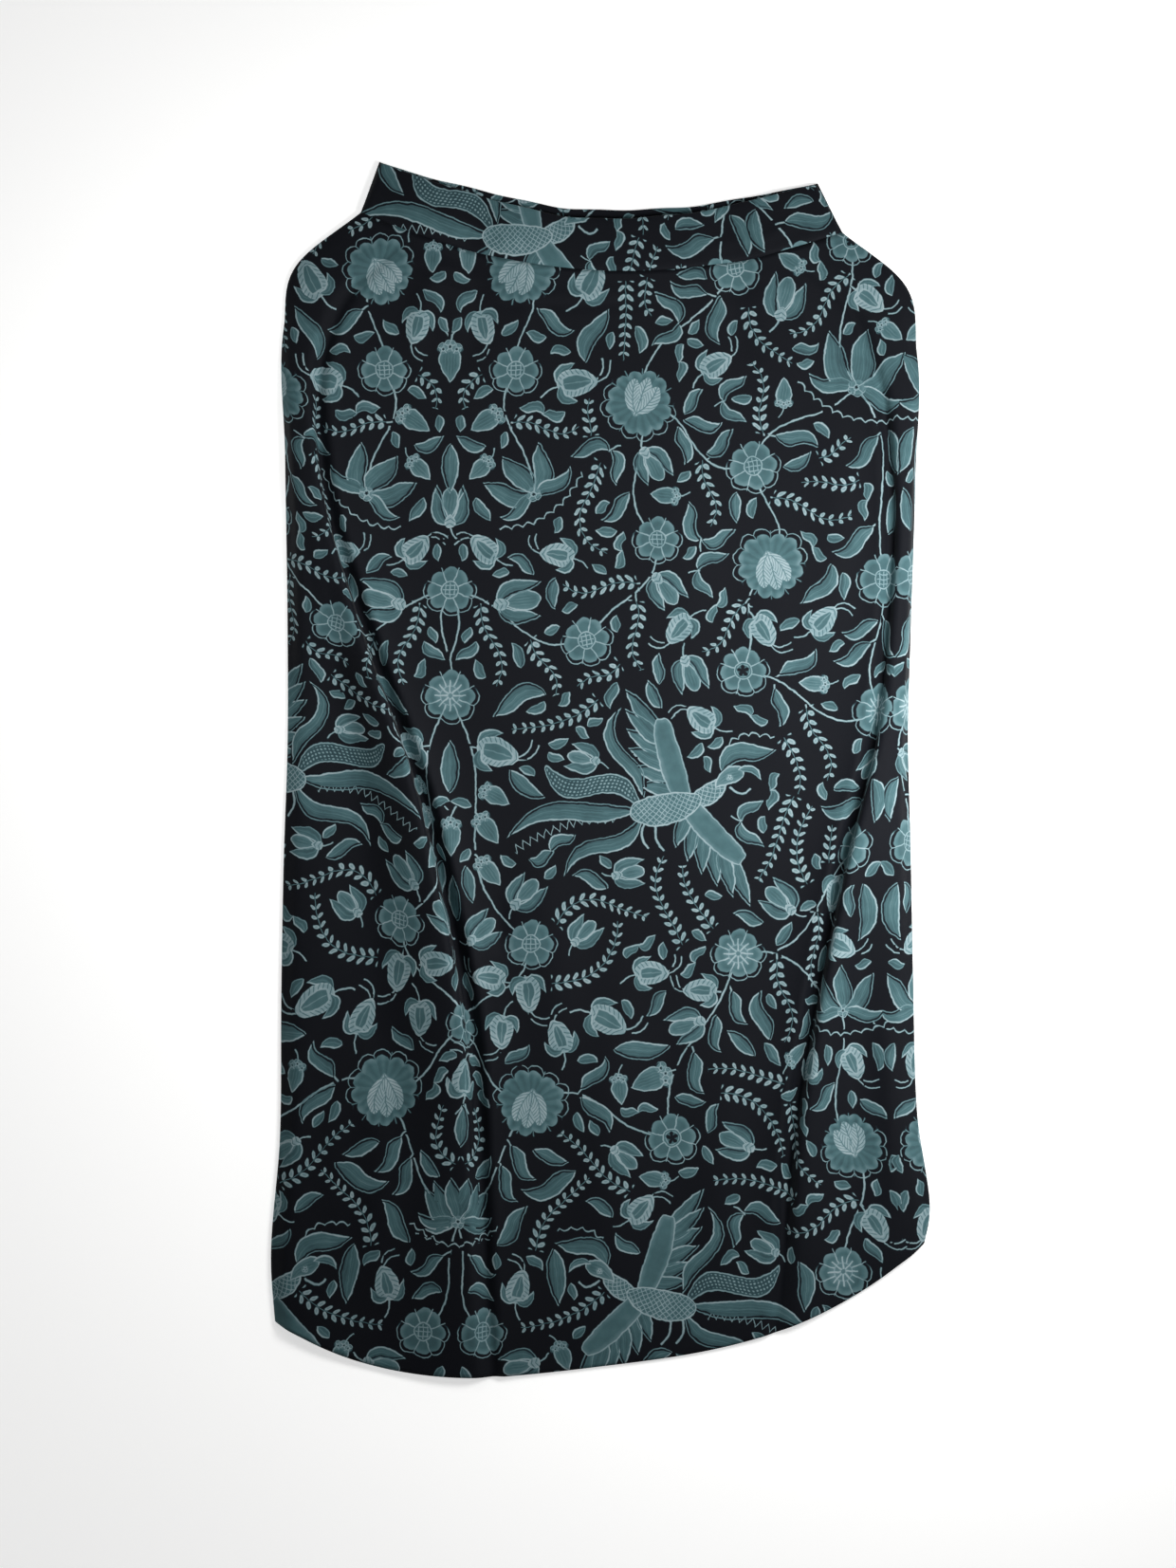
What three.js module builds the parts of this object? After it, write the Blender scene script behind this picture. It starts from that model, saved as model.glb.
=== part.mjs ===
// A long batik skirt laid flat on a table, waist towards +Y, front side up.
//
// Millimetres, +Z up. The origin is on the table under the middle of the skirt's outline. The back
// panel and the back waistband rest on the table, and the front panel and the front waistband lie
// on them. Each piece is one wall of cloth: a sheet of points, and the same sheet moved up by the
// wall's thickness, closed all round the edge.

import * as THREE from 'three';

// Cloth and lay
const clothWall = 1.4; // a panel, one layer
const bandWall = 2.4; // a waistband, folded double over its elastic
const layGap = 0.3; // air between two pieces that lie on each other
const seamGap = 0.3; // air between two pieces that are sewn edge to edge

// Where the cloth turns over at its sides
const rollWidth = 13; // from the side edge to the crest of the soft roll along it
const rollShare = 0.45; // of the width between edge and fold, where that is less
const rollRise = 4.5; // how far the roll stands up
const slackRise = 0.8; // what air is left between the panels where they lie slack
const noSlack = 30; // a fold nearer the edge than this leaves no slack between them
const fullSlack = 80; // and one this far away leaves all of it
const shoulderShare = 0.75; // of a near fold's rise, half way up from the edge
const brinkShare = 0.95; // of a near fold's rise, close to its crest

// The back panel rises under the front's folds, by a share of what they rise above this height
const backShare = 0.3;
const backFlatUnder = 5;

// How each row of the panels is divided, from one named place on it to the next
const divisions = {
  edgeToRoll: 2,
  rollToSlack: 2,
  slackToCrest: 2,
  crestToValley: 3,
  valleyToMiddle: 4,
};
const rowSpacing = 27; // between two rows of points along the skirt

// Rows across the skirt, from the hem to the waist seam. left and right are the ends of the row on
// the side edges. bow is how far its middle hangs towards the hem, and fullness how square that
// bow is. crest and valley are the two long folds that run down from the hips, rise is how high
// each stands, and climb is how far the row has climbed onto the waistbands' thickness.
const sections = [
  { name: 'hem', left: [-258, -437], right: [257, -375], bow: 67, fullness: 3, climb: 0,
    leftFold: { crest: -112, valley: -84, rise: 3 }, rightFold: { crest: 168, valley: 138, rise: 3 } },
  { name: 'above hem', left: [-261, -398], right: [261, -354], bow: 60, fullness: 2.5, climb: 0,
    leftFold: { crest: -114, valley: -88, rise: 4 }, rightFold: { crest: 169, valley: 142, rise: 4 } },
  { name: 'calf', left: [-254, -290], right: [251, -270], bow: 48, fullness: 2.3, climb: 0,
    leftFold: { crest: -118, valley: -94, rise: 7 }, rightFold: { crest: 173, valley: 149, rise: 8 } },
  { name: 'below knee', left: [-253, -180], right: [248, -165], bow: 38, fullness: 2.2, climb: 0,
    leftFold: { crest: -125, valley: -102, rise: 11 }, rightFold: { crest: 190, valley: 168, rise: 11 } },
  { name: 'knee', left: [-251, -70], right: [246, -60], bow: 32, fullness: 2, climb: 0,
    leftFold: { crest: -146, valley: -123, rise: 13 }, rightFold: { crest: 212, valley: 192, rise: 12 } },
  { name: 'above knee', left: [-248, 20], right: [244, 25], bow: 30, fullness: 2, climb: 0,
    leftFold: { crest: -168, valley: -147, rise: 13 }, rightFold: { crest: 231, valley: 215, rise: 9 } },
  { name: 'thigh', left: [-248, 115], right: [246, 105], bow: 30, fullness: 2, climb: 0,
    leftFold: { crest: -202, valley: -182, rise: 11 }, rightFold: { crest: 238, valley: 225, rise: 7 } },
  { name: 'hip', left: [-250, 250], right: [250, 235], bow: 33, fullness: 2, climb: 0,
    leftFold: { crest: -236, valley: -220, rise: 7 }, rightFold: { crest: 241, valley: 230, rise: 6 } },
  { name: 'high hip', left: [-251, 350], right: [251, 330], bow: 38, fullness: 2, climb: 0,
    leftFold: { crest: -235, valley: -216, rise: 4 }, rightFold: { crest: 234, valley: 215, rise: 4 } },
  { name: 'shoulder', left: [-239, 402], right: [240, 386], bow: 40, fullness: 2, climb: 0.3,
    leftFold: { crest: -212, valley: -190, rise: 2 }, rightFold: { crest: 212, valley: 190, rise: 2 } },
  { name: 'waist seam', left: [-190, 441], right: [192, 425], bow: 39, fullness: 2, climb: 1,
    leftFold: { crest: -166, valley: -146, rise: 0 }, rightFold: { crest: 166, valley: 146, rise: 0 } },
];

// The waistbands' top edges, in the same terms. The back one stands a little proud of the front one.
const frontTopEdge = { left: [-174, 480], right: [171, 463], bow: 37, fullness: 1.6 };
const backTopEdge = { left: [-175, 481], right: [172, 464], bow: 30, fullness: 1.6 };
const bandRows = 3;

// The front waistband is slack between the places where it lies on the back one: its two ends and
// two dimples.
const bandSlack = 3;
const bandEnd = 40; // from each end of the band to where it is slack
const dimples = [
  { name: 'left dimple', at: -100, halfWidth: 30 },
  { name: 'right dimple', at: 110, halfWidth: 26 },
];

const ease = (t) => (1 - Math.cos(Math.PI * THREE.MathUtils.clamp(t, 0, 1))) / 2;

// How far the front panel climbs to meet the middle of the front waistband's thickness
const ontoBand = (bandWall - clothWall) * 1.5;

// How far the front waistband stands off the back one at a share of the way across it.
function bandRise(across) {
  const { left, right } = sections.at(-1);
  const x = THREE.MathUtils.lerp(left[0], right[0], across);
  const ends = ease((x - left[0]) / bandEnd) * ease((right[0] - x) / bandEnd);
  const dips = dimples.map((dimple) => ease(Math.abs(x - dimple.at) / dimple.halfWidth));
  return bandSlack * dips.reduce((rise, dip) => rise * dip, ends);
}

// The point of a row at x, in plan.
function pointOfRow(row, x) {
  const across = (x - row.left[0]) / (row.right[0] - row.left[0]);
  const straight = THREE.MathUtils.lerp(row.left[1], row.right[1], across);
  const sag = row.bow * (1 - Math.abs(2 * across - 1) ** row.fullness);
  return new THREE.Vector2(x, straight - sag);
}

// One side of a row, from its edge inwards to the valley of its fold: x and height at each named
// place. Between the roll and the crest the cloth lies slack, if there is room for that.
function sideStations(edge, fold) {
  const width = Math.abs(fold.crest - edge);
  const inwards = Math.sign(fold.crest - edge);
  const roll = Math.min(rollWidth, rollShare * width);
  const room = THREE.MathUtils.smoothstep(width, noSlack, fullSlack);
  const rollHeight = Math.min(rollRise, Math.max(fold.rise, rollRise / 2));
  const lerp = THREE.MathUtils.lerp;
  return [
    { x: edge, rise: 0 },
    { x: edge + inwards * roll, rise: lerp(shoulderShare * fold.rise, rollHeight, room) },
    { x: edge + (inwards * (roll + width)) / 2, rise: lerp(brinkShare * fold.rise, slackRise, room) },
    { x: fold.crest, rise: fold.rise },
    { x: fold.valley, rise: 0 },
  ];
}

// All the points of a row of the front panel, as plan points with the height of the cloth above
// the back panel.
function frontRow(row) {
  const leftSide = sideStations(row.left[0], row.leftFold);
  const rightSide = sideStations(row.right[0], row.rightFold).reverse();
  const middle = { x: (row.leftFold.valley + row.rightFold.valley) / 2, rise: 0 };
  const stations = [...leftSide, middle, ...rightSide];
  const { edgeToRoll, rollToSlack, slackToCrest, crestToValley, valleyToMiddle } = divisions;
  const outside = [edgeToRoll, rollToSlack, slackToCrest, crestToValley];
  const counts = [...outside, valleyToMiddle, valleyToMiddle, ...outside.toReversed()];
  const points = [];
  counts.forEach((count, k) => {
    const last = k === counts.length - 1 ? 1 : 0;
    for (let step = 0; step < count + last; step++) {
      const t = step / count;
      const x = THREE.MathUtils.lerp(stations[k].x, stations[k + 1].x, t);
      const plan = pointOfRow(row, x);
      const across = (x - row.left[0]) / (row.right[0] - row.left[0]);
      const climb = row.climb * (ontoBand + bandRise(across));
      const rise = THREE.MathUtils.lerp(stations[k].rise, stations[k + 1].rise, ease(t));
      points.push(new THREE.Vector3(plan.x, plan.y, rise + climb));
    }
  });
  return points;
}

// Rows of points from the hem to the waist seam, on smooth lines through the named rows.
function panelRows() {
  const named = sections.map(frontRow);
  const lines = named[0].map((_, column) => new THREE.CatmullRomCurve3(named.map((row) => row[column])));
  const spans = sections.length - 1;
  const rows = [];
  for (let span = 0; span < spans; span++) {
    const length = sections[span + 1].left[1] - sections[span].left[1];
    const count = Math.max(1, Math.round(length / rowSpacing));
    const last = span === spans - 1 ? 1 : 0;
    for (let step = 0; step < count + last; step++) {
      const row = lines.map((line) => line.getPoint((span + step / count) / spans));
      row.forEach((point) => (point.z = Math.max(0, point.z)));
      rows.push(row);
    }
  }
  return rows;
}

// Rows of points of a waistband, from a seam's gap above the panels' last row to its top edge.
function waistbandRows(topEdge, rise) {
  const seam = sections.at(-1);
  const seamPoints = panelRows().at(-1);
  const rows = [];
  for (let j = 0; j <= bandRows; j++) {
    const row = seamPoints.map((point, i) => {
      const before = seamPoints[Math.max(i - 1, 0)];
      const after = seamPoints[Math.min(i + 1, seamPoints.length - 1)];
      const along = new THREE.Vector2(after.x - before.x, after.y - before.y).normalize();
      const low = new THREE.Vector2(point.x - along.y * seamGap, point.y + along.x * seamGap);
      const across = (point.x - seam.left[0]) / (seam.right[0] - seam.left[0]);
      const high = pointOfRow(topEdge, THREE.MathUtils.lerp(topEdge.left[0], topEdge.right[0], across));
      const plan = low.lerp(high, j / bandRows);
      return new THREE.Vector3(plan.x, plan.y, rise(across));
    });
    rows.push(row);
  }
  return rows;
}

// A closed wall: the rows at a height, the same rows a wall's thickness higher, and the strip
// between them all round the edge.
function wallOf(rows, height, thickness) {
  const columns = rows[0].length;
  const layer = rows.length * columns;
  const positions = [];
  for (const lift of [height, height + thickness]) {
    rows.flat().forEach((point) => positions.push(point.x, point.y, point.z + lift));
  }
  const index = [];
  const quad = (a, b, c, d) => index.push(a, b, c, a, c, d);
  const at = (j, i) => j * columns + i;
  for (let j = 0; j < rows.length - 1; j++) {
    for (let i = 0; i < columns - 1; i++) {
      const [a, b, c, d] = [at(j, i), at(j, i + 1), at(j + 1, i + 1), at(j + 1, i)];
      quad(a + layer, b + layer, c + layer, d + layer);
      index.push(a, c, b, a, d, c);
    }
  }
  const rim = [];
  for (let i = 0; i < columns - 1; i++) rim.push(at(0, i));
  for (let j = 0; j < rows.length - 1; j++) rim.push(at(j, columns - 1));
  for (let i = columns - 1; i > 0; i--) rim.push(at(rows.length - 1, i));
  for (let j = rows.length - 1; j > 0; j--) rim.push(at(j, 0));
  rim.forEach((from, k) => {
    const to = rim[(k + 1) % rim.length];
    quad(from, to, to + layer, from + layer);
  });
  const geometry = new THREE.BufferGeometry();
  geometry.setAttribute('position', new THREE.Float32BufferAttribute(positions, 3));
  geometry.setIndex(index);
  geometry.computeVertexNormals();
  return geometry;
}

// The back panel lies flat, but for two low troughs that follow the front's folds.
function backRows(frontRows) {
  const under = (rise) => backShare * Math.max(0, rise - backFlatUnder);
  return frontRows.map((row) => row.map((point) => new THREE.Vector3(point.x, point.y, under(point.z))));
}

const printedCotton = new THREE.MeshStandardMaterial({ color: 0x1d2a33, roughness: 0.85, metalness: 0 });
const skirt = new THREE.Group();

function addPiece(name, geometry) {
  const piece = new THREE.Mesh(geometry, printedCotton.clone());
  piece.name = name;
  skirt.add(piece);
}

const panel = panelRows();
addPiece('back_panel', wallOf(backRows(panel), 0, clothWall));
addPiece('front_panel', wallOf(panel, clothWall + layGap, clothWall));
addPiece('waistband_back', wallOf(waistbandRows(backTopEdge, () => 0), 0, bandWall));
addPiece('waistband_front', wallOf(waistbandRows(frontTopEdge, bandRise), bandWall + layGap, bandWall));

export default skirt;
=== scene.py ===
# %% [markdown]
# # A batik skirt, laid flat
#
# The skirt is a tube of printed cotton with a waistband, dropped flat on a table: the front panel
# lies on the back panel, and two long soft folds run down from the hips. The solids of the packed
# model fix where everything is. This lesson lays a thin shell of cloth on each of them, draws the
# print with strokes, and lights the whole from above.

# %% Load the frame
import math
from collections import namedtuple

import bmesh
import bpy
import numpy as np
from mathutils import Matrix, Vector


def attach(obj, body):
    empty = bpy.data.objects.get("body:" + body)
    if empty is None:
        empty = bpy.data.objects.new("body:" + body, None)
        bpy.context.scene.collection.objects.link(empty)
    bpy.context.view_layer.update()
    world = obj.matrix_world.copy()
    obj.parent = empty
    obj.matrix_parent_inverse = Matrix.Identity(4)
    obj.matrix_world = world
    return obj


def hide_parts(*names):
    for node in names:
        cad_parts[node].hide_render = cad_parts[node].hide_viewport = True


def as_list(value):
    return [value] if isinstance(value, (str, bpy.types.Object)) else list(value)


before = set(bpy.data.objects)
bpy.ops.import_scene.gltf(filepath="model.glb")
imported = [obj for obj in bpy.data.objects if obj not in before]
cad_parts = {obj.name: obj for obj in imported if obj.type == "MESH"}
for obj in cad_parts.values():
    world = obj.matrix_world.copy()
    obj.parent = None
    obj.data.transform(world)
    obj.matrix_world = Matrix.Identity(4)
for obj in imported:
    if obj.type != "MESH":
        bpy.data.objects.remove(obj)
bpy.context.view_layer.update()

# %% [markdown]
# ## Sizes
#
# Everything is thought out in millimetres, as a maker would, and turned into metres when a mesh is
# made. The rows below say how the skirt lies: where each row across it meets the side edges, how
# its middle hangs towards the hem, and where the crest and the valley of each long fold are.

# %% Sizes and rows
MM = 0.001
SHELL = 0.5  # the cloth's own thickness
PANEL_WALL = 1.4  # the solids' walls and the air between them
BAND_WALL = 2.4
LAY_GAP = 0.3
FRONT_LIFT = PANEL_WALL + LAY_GAP  # the underside of the front panel where it lies flat
BAND_LIFT = BAND_WALL + LAY_GAP
FOLD_SPRING = 1.5  # real cloth stands a little higher in a fold than the solid does

Fold = namedtuple("Fold", "crest valley rise")
Row = namedtuple("Row", "name left right bow fullness climb left_fold right_fold")

ROWS = [
    Row("hem", (-258, -437), (257, -375), 67, 3, 0, Fold(-112, -84, 3), Fold(168, 138, 3)),
    Row("above hem", (-261, -398), (261, -354), 60, 2.5, 0, Fold(-114, -88, 4), Fold(169, 142, 4)),
    Row("calf", (-254, -290), (251, -270), 48, 2.3, 0, Fold(-118, -94, 7), Fold(173, 149, 8)),
    Row("below knee", (-253, -180), (248, -165), 38, 2.2, 0, Fold(-125, -102, 11), Fold(190, 168, 11)),
    Row("knee", (-251, -70), (246, -60), 32, 2, 0, Fold(-146, -123, 13), Fold(212, 192, 12)),
    Row("above knee", (-248, 20), (244, 25), 30, 2, 0, Fold(-168, -147, 13), Fold(231, 215, 9)),
    Row("thigh", (-248, 115), (246, 105), 30, 2, 0, Fold(-202, -182, 11), Fold(238, 225, 7)),
    Row("hip", (-250, 250), (250, 235), 33, 2, 0, Fold(-236, -220, 8), Fold(241, 230, 6)),
    Row("high hip", (-251, 350), (251, 330), 38, 2, 0, Fold(-235, -216, 4), Fold(234, 215, 4)),
    Row("shoulder", (-239, 402), (240, 386), 40, 2, 0.3, Fold(-212, -190, 2), Fold(212, 190, 2)),
    Row("waist seam", (-190, 441), (192, 425), 39, 2, 1, Fold(-166, -146, 0), Fold(166, 146, 0)),
]
FRONT_TOP_EDGE = Row("front top", (-174, 480), (171, 463), 37, 1.6, 1, None, None)
BACK_TOP_EDGE = Row("back top", (-175, 481), (172, 464), 30, 1.6, 1, None, None)


def flat_numbers(row):
    """A row of the table as one list of numbers."""
    return [*row.left, *row.right, row.bow, row.fullness, row.climb, *row.left_fold, *row.right_fold]


LEFT_X, LEFT_Y, RIGHT_X, RIGHT_Y, BOW, FULLNESS, CLIMB = range(7)
LEFT_CREST, LEFT_VALLEY, LEFT_RISE, RIGHT_CREST, RIGHT_VALLEY, RIGHT_RISE = range(7, 13)
TABLE = np.array([flat_numbers(row) for row in ROWS], float)
KNOTS = TABLE[:, LEFT_Y]  # how far up the left edge each row begins


def rows_between(heights):
    """The table's numbers at any heights up the left edge, on smooth curves through the rows."""
    slopes = np.gradient(TABLE, KNOTS, axis=0)
    k = np.clip(np.searchsorted(KNOTS, heights, side="right") - 1, 0, len(KNOTS) - 2)
    span = (KNOTS[k + 1] - KNOTS[k])[:, None]
    t = (heights[:, None] - KNOTS[k][:, None]) / span
    start = (1 + 2 * t) * (1 - t) ** 2 * TABLE[k] + t * (1 - t) ** 2 * span * slopes[k]
    end = t * t * (3 - 2 * t) * TABLE[k + 1] - t * t * (1 - t) * span * slopes[k + 1]
    return start + end


def ease(t):
    """0 to 1 with level ends."""
    return (1 - np.cos(np.pi * np.clip(t, 0, 1))) / 2


def smooth_step(value, low, high):
    t = np.clip((value - low) / (high - low), 0, 1)
    return t * t * (3 - 2 * t)


def row_y(numbers, x):
    """How far up the skirt a row is at x."""
    across = (x - numbers[LEFT_X]) / (numbers[RIGHT_X] - numbers[LEFT_X])
    straight = numbers[LEFT_Y] + (numbers[RIGHT_Y] - numbers[LEFT_Y]) * across
    return straight - numbers[BOW] * (1 - np.abs(2 * across - 1) ** numbers[FULLNESS])


print(len(ROWS), "rows,", round(KNOTS[-1] - KNOTS[0]), "mm up the left edge")

# %% [markdown]
# ## How high the cloth stands
#
# Across one row the cloth rolls up from the side edge, lies slack, climbs to the crest of a fold
# and drops into its valley. The heights between those places are eased, so that the folds are soft.

# %% Height across a row
ROLL_WIDTH, ROLL_SHARE, ROLL_RISE, SLACK_RISE = 13, 0.45, 4.5, 0.8
NO_SLACK, FULL_SLACK = 30, 80
SHOULDER_SHARE, BRINK_SHARE = 0.75, 0.95
BAND_SLACK, BAND_END = 3, 40
DIMPLES = [(-100, 30), (110, 26)]  # where the front waistband touches the back one, and how widely
ONTO_BAND = (BAND_WALL - PANEL_WALL) * 1.5
LIP, PINCH = 0.46, 0.22  # the shares of a fold's rise that the cloth gains past its valley and loses in it
LIP_AT, LIP_FADE, PINCH_WIDTH = 8, 16, 2.4
TURN = 2.6  # how far in from the side edge the cloth starts to turn down to the back


def side_stations(edge, crest, valley, rise):
    """x and height at each named place, from a side edge to the valley of its fold."""
    width = abs(crest - edge)
    inwards = math.copysign(1, crest - edge)
    roll = min(ROLL_WIDTH, ROLL_SHARE * width)
    room = smooth_step(width, NO_SLACK, FULL_SLACK)
    roll_rise = min(ROLL_RISE, max(rise, ROLL_RISE / 2))
    return [
        (edge, 0.0),
        (edge + inwards * roll, SHOULDER_SHARE * rise * (1 - room) + roll_rise * room),
        (edge + inwards * (roll + width) / 2, BRINK_SHARE * rise * (1 - room) + SLACK_RISE * room),
        (crest, rise),
        (valley, 0.0),
    ]


def band_rise(x):
    """How far the front waistband stands off the back one."""
    seam = TABLE[-1]
    ends = ease((x - seam[LEFT_X]) / BAND_END) * ease((seam[RIGHT_X] - x) / BAND_END)
    for at, half_width in DIMPLES:
        ends = ends * ease(np.abs(x - at) / half_width)
    return BAND_SLACK * ends


def height_across(numbers, x, spring):
    """The height of the front cloth above its flat lay, at each x of a row."""
    left_crest, left_valley = numbers[LEFT_CREST], numbers[LEFT_VALLEY]
    right_crest, right_valley = numbers[RIGHT_CREST], numbers[RIGHT_VALLEY]
    left_rise = max(numbers[LEFT_RISE], 0) * spring
    right_rise = max(numbers[RIGHT_RISE], 0) * spring
    left = side_stations(numbers[LEFT_X], left_crest, left_valley, left_rise)
    right = side_stations(numbers[RIGHT_X], right_crest, right_valley, right_rise)
    middle = [((left_valley + right_valley) / 2, 0.0)]
    places, rises = np.array(left + middle + right[::-1]).T
    k = np.clip(np.searchsorted(places, x, side="right") - 1, 0, len(places) - 2)
    t = (x - places[k]) / (places[k + 1] - places[k])
    height = rises[k] + (rises[k + 1] - rises[k]) * ease(t)
    for valley, rise, inwards in ((left_valley, left_rise, 1), (right_valley, right_rise, -1)):
        past = (x - valley) * inwards
        lip = smooth_step(past, 0.5, LIP_AT) * np.exp(-np.clip(past - LIP_AT, 0, None) / LIP_FADE)
        pinch = np.exp(-((past / PINCH_WIDTH) ** 2))
        height = height + rise * (LIP * lip - PINCH * pinch)
    return height


knee = TABLE[4]
knee_crests = height_across(knee, knee[[LEFT_CREST, RIGHT_CREST]], FOLD_SPRING)
print("the folds stand", knee_crests.round(1), "mm high at the knee")

# %% [markdown]
# ## Small creases
#
# Cotton that has been worn and laid out keeps many soft creases. Each one here is listed, as a
# trough or a ridge along a short bowed line that fades towards its ends. A slow swell over the
# whole cloth keeps what lies between them from being dead flat.

# %% Creases and swell
Crease = namedtuple("Crease", "name x0 y0 x1 y1 bend width rise")
CREASES = [
    Crease("under the waistband", -96, 368, 74, 372, 3, 4, -1.6),
    Crease("under the waistband, ridge", -84, 376, 66, 379, 3, 5, 1.5),
    Crease("under the waistband, right", 60, 374, 150, 392, 4, 6, -1.4),
    Crease("left squeeze, upper", -168, 408, -92, 384, -3, 5, 3.4),
    Crease("left squeeze, lower", -156, 392, -88, 366, -3, 5, 2.8),
    Crease("below the seam, left", -172, 414, -62, 386, -5, 9, -2.8),
    Crease("below the seam, right", 84, 386, 168, 402, -5, 9, -1.6),
    Crease("waist, left pucker", -124, 402, -148, 326, 6, 9, 3.0),
    Crease("waist, left trough", -100, 398, -106, 316, -5, 10, -1.8),
    Crease("waist, middle pucker", -52, 388, -60, 338, 3, 9, 1.3),
    Crease("waist, right trough", 108, 394, 122, 322, 6, 10, -1.5),
    Crease("waist, right pucker", 138, 402, 164, 340, -6, 9, 2.4),
    Crease("dimple", -80, -100, -76, -150, 2, 8, -2.2),
    Crease("below the left fold", -98, -150, -92, -340, 6, 15, -2.4),
    Crease("left lap", -60, -40, -40, -300, -14, 22, 2.6),
    Crease("lower middle ridge", 20, -150, 6, -420, 8, 20, 2.4),
    Crease("lower middle trough", 52, -170, 44, -430, -6, 16, -1.2),
    Crease("lower right ridge", 110, -210, 96, -420, 8, 20, 2.6),
    Crease("right edge ridge", 226, -190, 232, -350, -5, 10, 2.4),
    Crease("left edge trough", -214, -160, -222, -400, 8, 14, -1.2),
    Crease("left edge ridge", -184, -210, -180, -420, -8, 16, 3.0),
    Crease("left hip ridge", -196, 300, -150, 90, 14, 16, 1.8),
    Crease("seat ridge", 30, 330, 62, 120, -10, 26, 1.4),
    Crease("right hip ridge", 186, 300, 176, 100, -8, 18, 2.0),
    Crease("thigh trough", 120, 210, 104, 40, 10, 22, -1.0),
]
Swell = namedtuple("Swell", "along_x along_y phase rise")
SWELLS = [
    Swell(0.0137, 0.0052, 0.4, 0.35),
    Swell(-0.0061, 0.0113, 2.1, 0.3),
    Swell(0.021, -0.0156, 4.0, 0.2),
]


def creased(x, y, creases):
    """The height that the small creases and the slow swell of the cloth add at x, y."""
    added = sum(rise * np.sin(a * x + b * y + phase) for a, b, phase, rise in SWELLS)
    for crease in creases:
        ax, ay = crease.x1 - crease.x0, crease.y1 - crease.y0
        length = math.hypot(ax, ay)
        along = ((x - crease.x0) * ax + (y - crease.y0) * ay) / length**2
        aside = ((x - crease.x0) * ay - (y - crease.y0) * ax) / length
        aside = aside - crease.bend * np.sin(np.pi * np.clip(along, 0, 1))
        fade = np.sin(np.pi * np.clip(along, 0, 1)) ** 0.7
        added = added + crease.rise * fade * np.exp(-((aside / crease.width) ** 2))
    return added


print(len(CREASES), "creases, from", min(c.rise for c in CREASES), "to", max(c.rise for c in CREASES), "mm")

# %% [markdown]
# ## Laying the panels
#
# Each panel is a grid of small square faces. A row's points are spaced evenly along the cloth, not
# across the table, so that a fold takes up cloth as a real one does. Those distances are kept: they
# are where a point lies on the flat cloth, and the print and the weave follow them.

# %% Points of the panels
CELL, BACK_CELL = 3.25, 4.0625  # the faces' size; the hidden back needs fewer
FLAT_WIDTH = 520  # roughly, for the number of columns
FINE_STEPS = 1200  # places at which a row's length along the cloth is added up
EDGE_STEPS = [0, 0.7, 1.4, 2.2, 3.2, 4.6]  # columns close together where the cloth turns down
OVERHANG = 0.36  # how far a fold leans over its valley, for each millimetre of its height
NARROWED = 0.36  # how much closer to its valley a fold's crest is than in the solid
UPRIGHT, LEANING = 4, 24  # nearer its edge than this a fold stands upright, and past this it leans fully
LEFT_SLIP, RIGHT_SLIP = 0.9, 0.25  # how far down the cloth slips along each fold, for what it takes up
LOWEST, SOFTNESS = 1.5, 0.3  # the front's outer face stays this high, clear of the back, and nears it softly
EDGE_LIFT = SHELL + 0.2  # the front's outer face at the very edge
CREASE_FADE = 25  # creases fade out over this, towards a side edge
SEAM_CALM = 0.8  # the share of each crease that the waist seam holds flat
BACK_SHARE = 0.3  # the share of a fold's height that lifts the back cloth under it
BACK_FLAT_UNDER = 5  # a fold lower than this leaves the back cloth on the table


def narrowed(numbers):
    """A row's numbers with each crest moved towards its valley, for a crisper fold."""
    numbers = numbers.copy()
    for crest, valley in ((LEFT_CREST, LEFT_VALLEY), (RIGHT_CREST, RIGHT_VALLEY)):
        numbers[crest] += (numbers[valley] - numbers[crest]) * NARROWED
    return numbers


def panel_points(cell, height_of):
    """Points of a panel, rows from the hem upwards, with each point's place on the flat cloth."""
    heights = np.linspace(KNOTS[0], KNOTS[-1], int((KNOTS[-1] - KNOTS[0]) / cell) + 1)
    columns = int(FLAT_WIDTH / cell)
    points, places = [], []
    for numbers in rows_between(heights):
        x = np.linspace(numbers[LEFT_X], numbers[RIGHT_X], FINE_STEPS)
        folds = height_across(narrowed(numbers), x, FOLD_SPRING)
        in_from_edge = np.minimum(x - numbers[LEFT_X], numbers[RIGHT_X] - x)
        inwards = np.where(x < 0, 1, -1)
        leaning = inwards * OVERHANG * folds * smooth_step(in_from_edge, UPRIGHT, LEANING)
        z, lean = height_of(numbers, x, folds, in_from_edge)
        leant = x + leaning * lean
        cloth = np.concatenate([[0], np.cumsum(np.hypot(np.diff(leant), np.diff(z)))])
        cloth -= np.interp(0, x, cloth)
        inner = np.linspace(cloth[0] + EDGE_STEPS[-1], cloth[-1] - EDGE_STEPS[-1], columns)
        edge = np.array(EDGE_STEPS[:-1])
        at = np.concatenate([cloth[0] + edge, inner, cloth[-1] - edge[::-1]])
        flat_x = np.interp(at, cloth, x)
        y = row_y(numbers, flat_x)
        points.append(np.stack([np.interp(at, cloth, leant), y, np.interp(at, cloth, z)], axis=1))
        slip = np.where(flat_x < 0, LEFT_SLIP, RIGHT_SLIP) * np.abs(at - flat_x)
        places.append(np.stack([at, y - slip], axis=1))
    return np.array(points), np.array(places)


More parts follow.
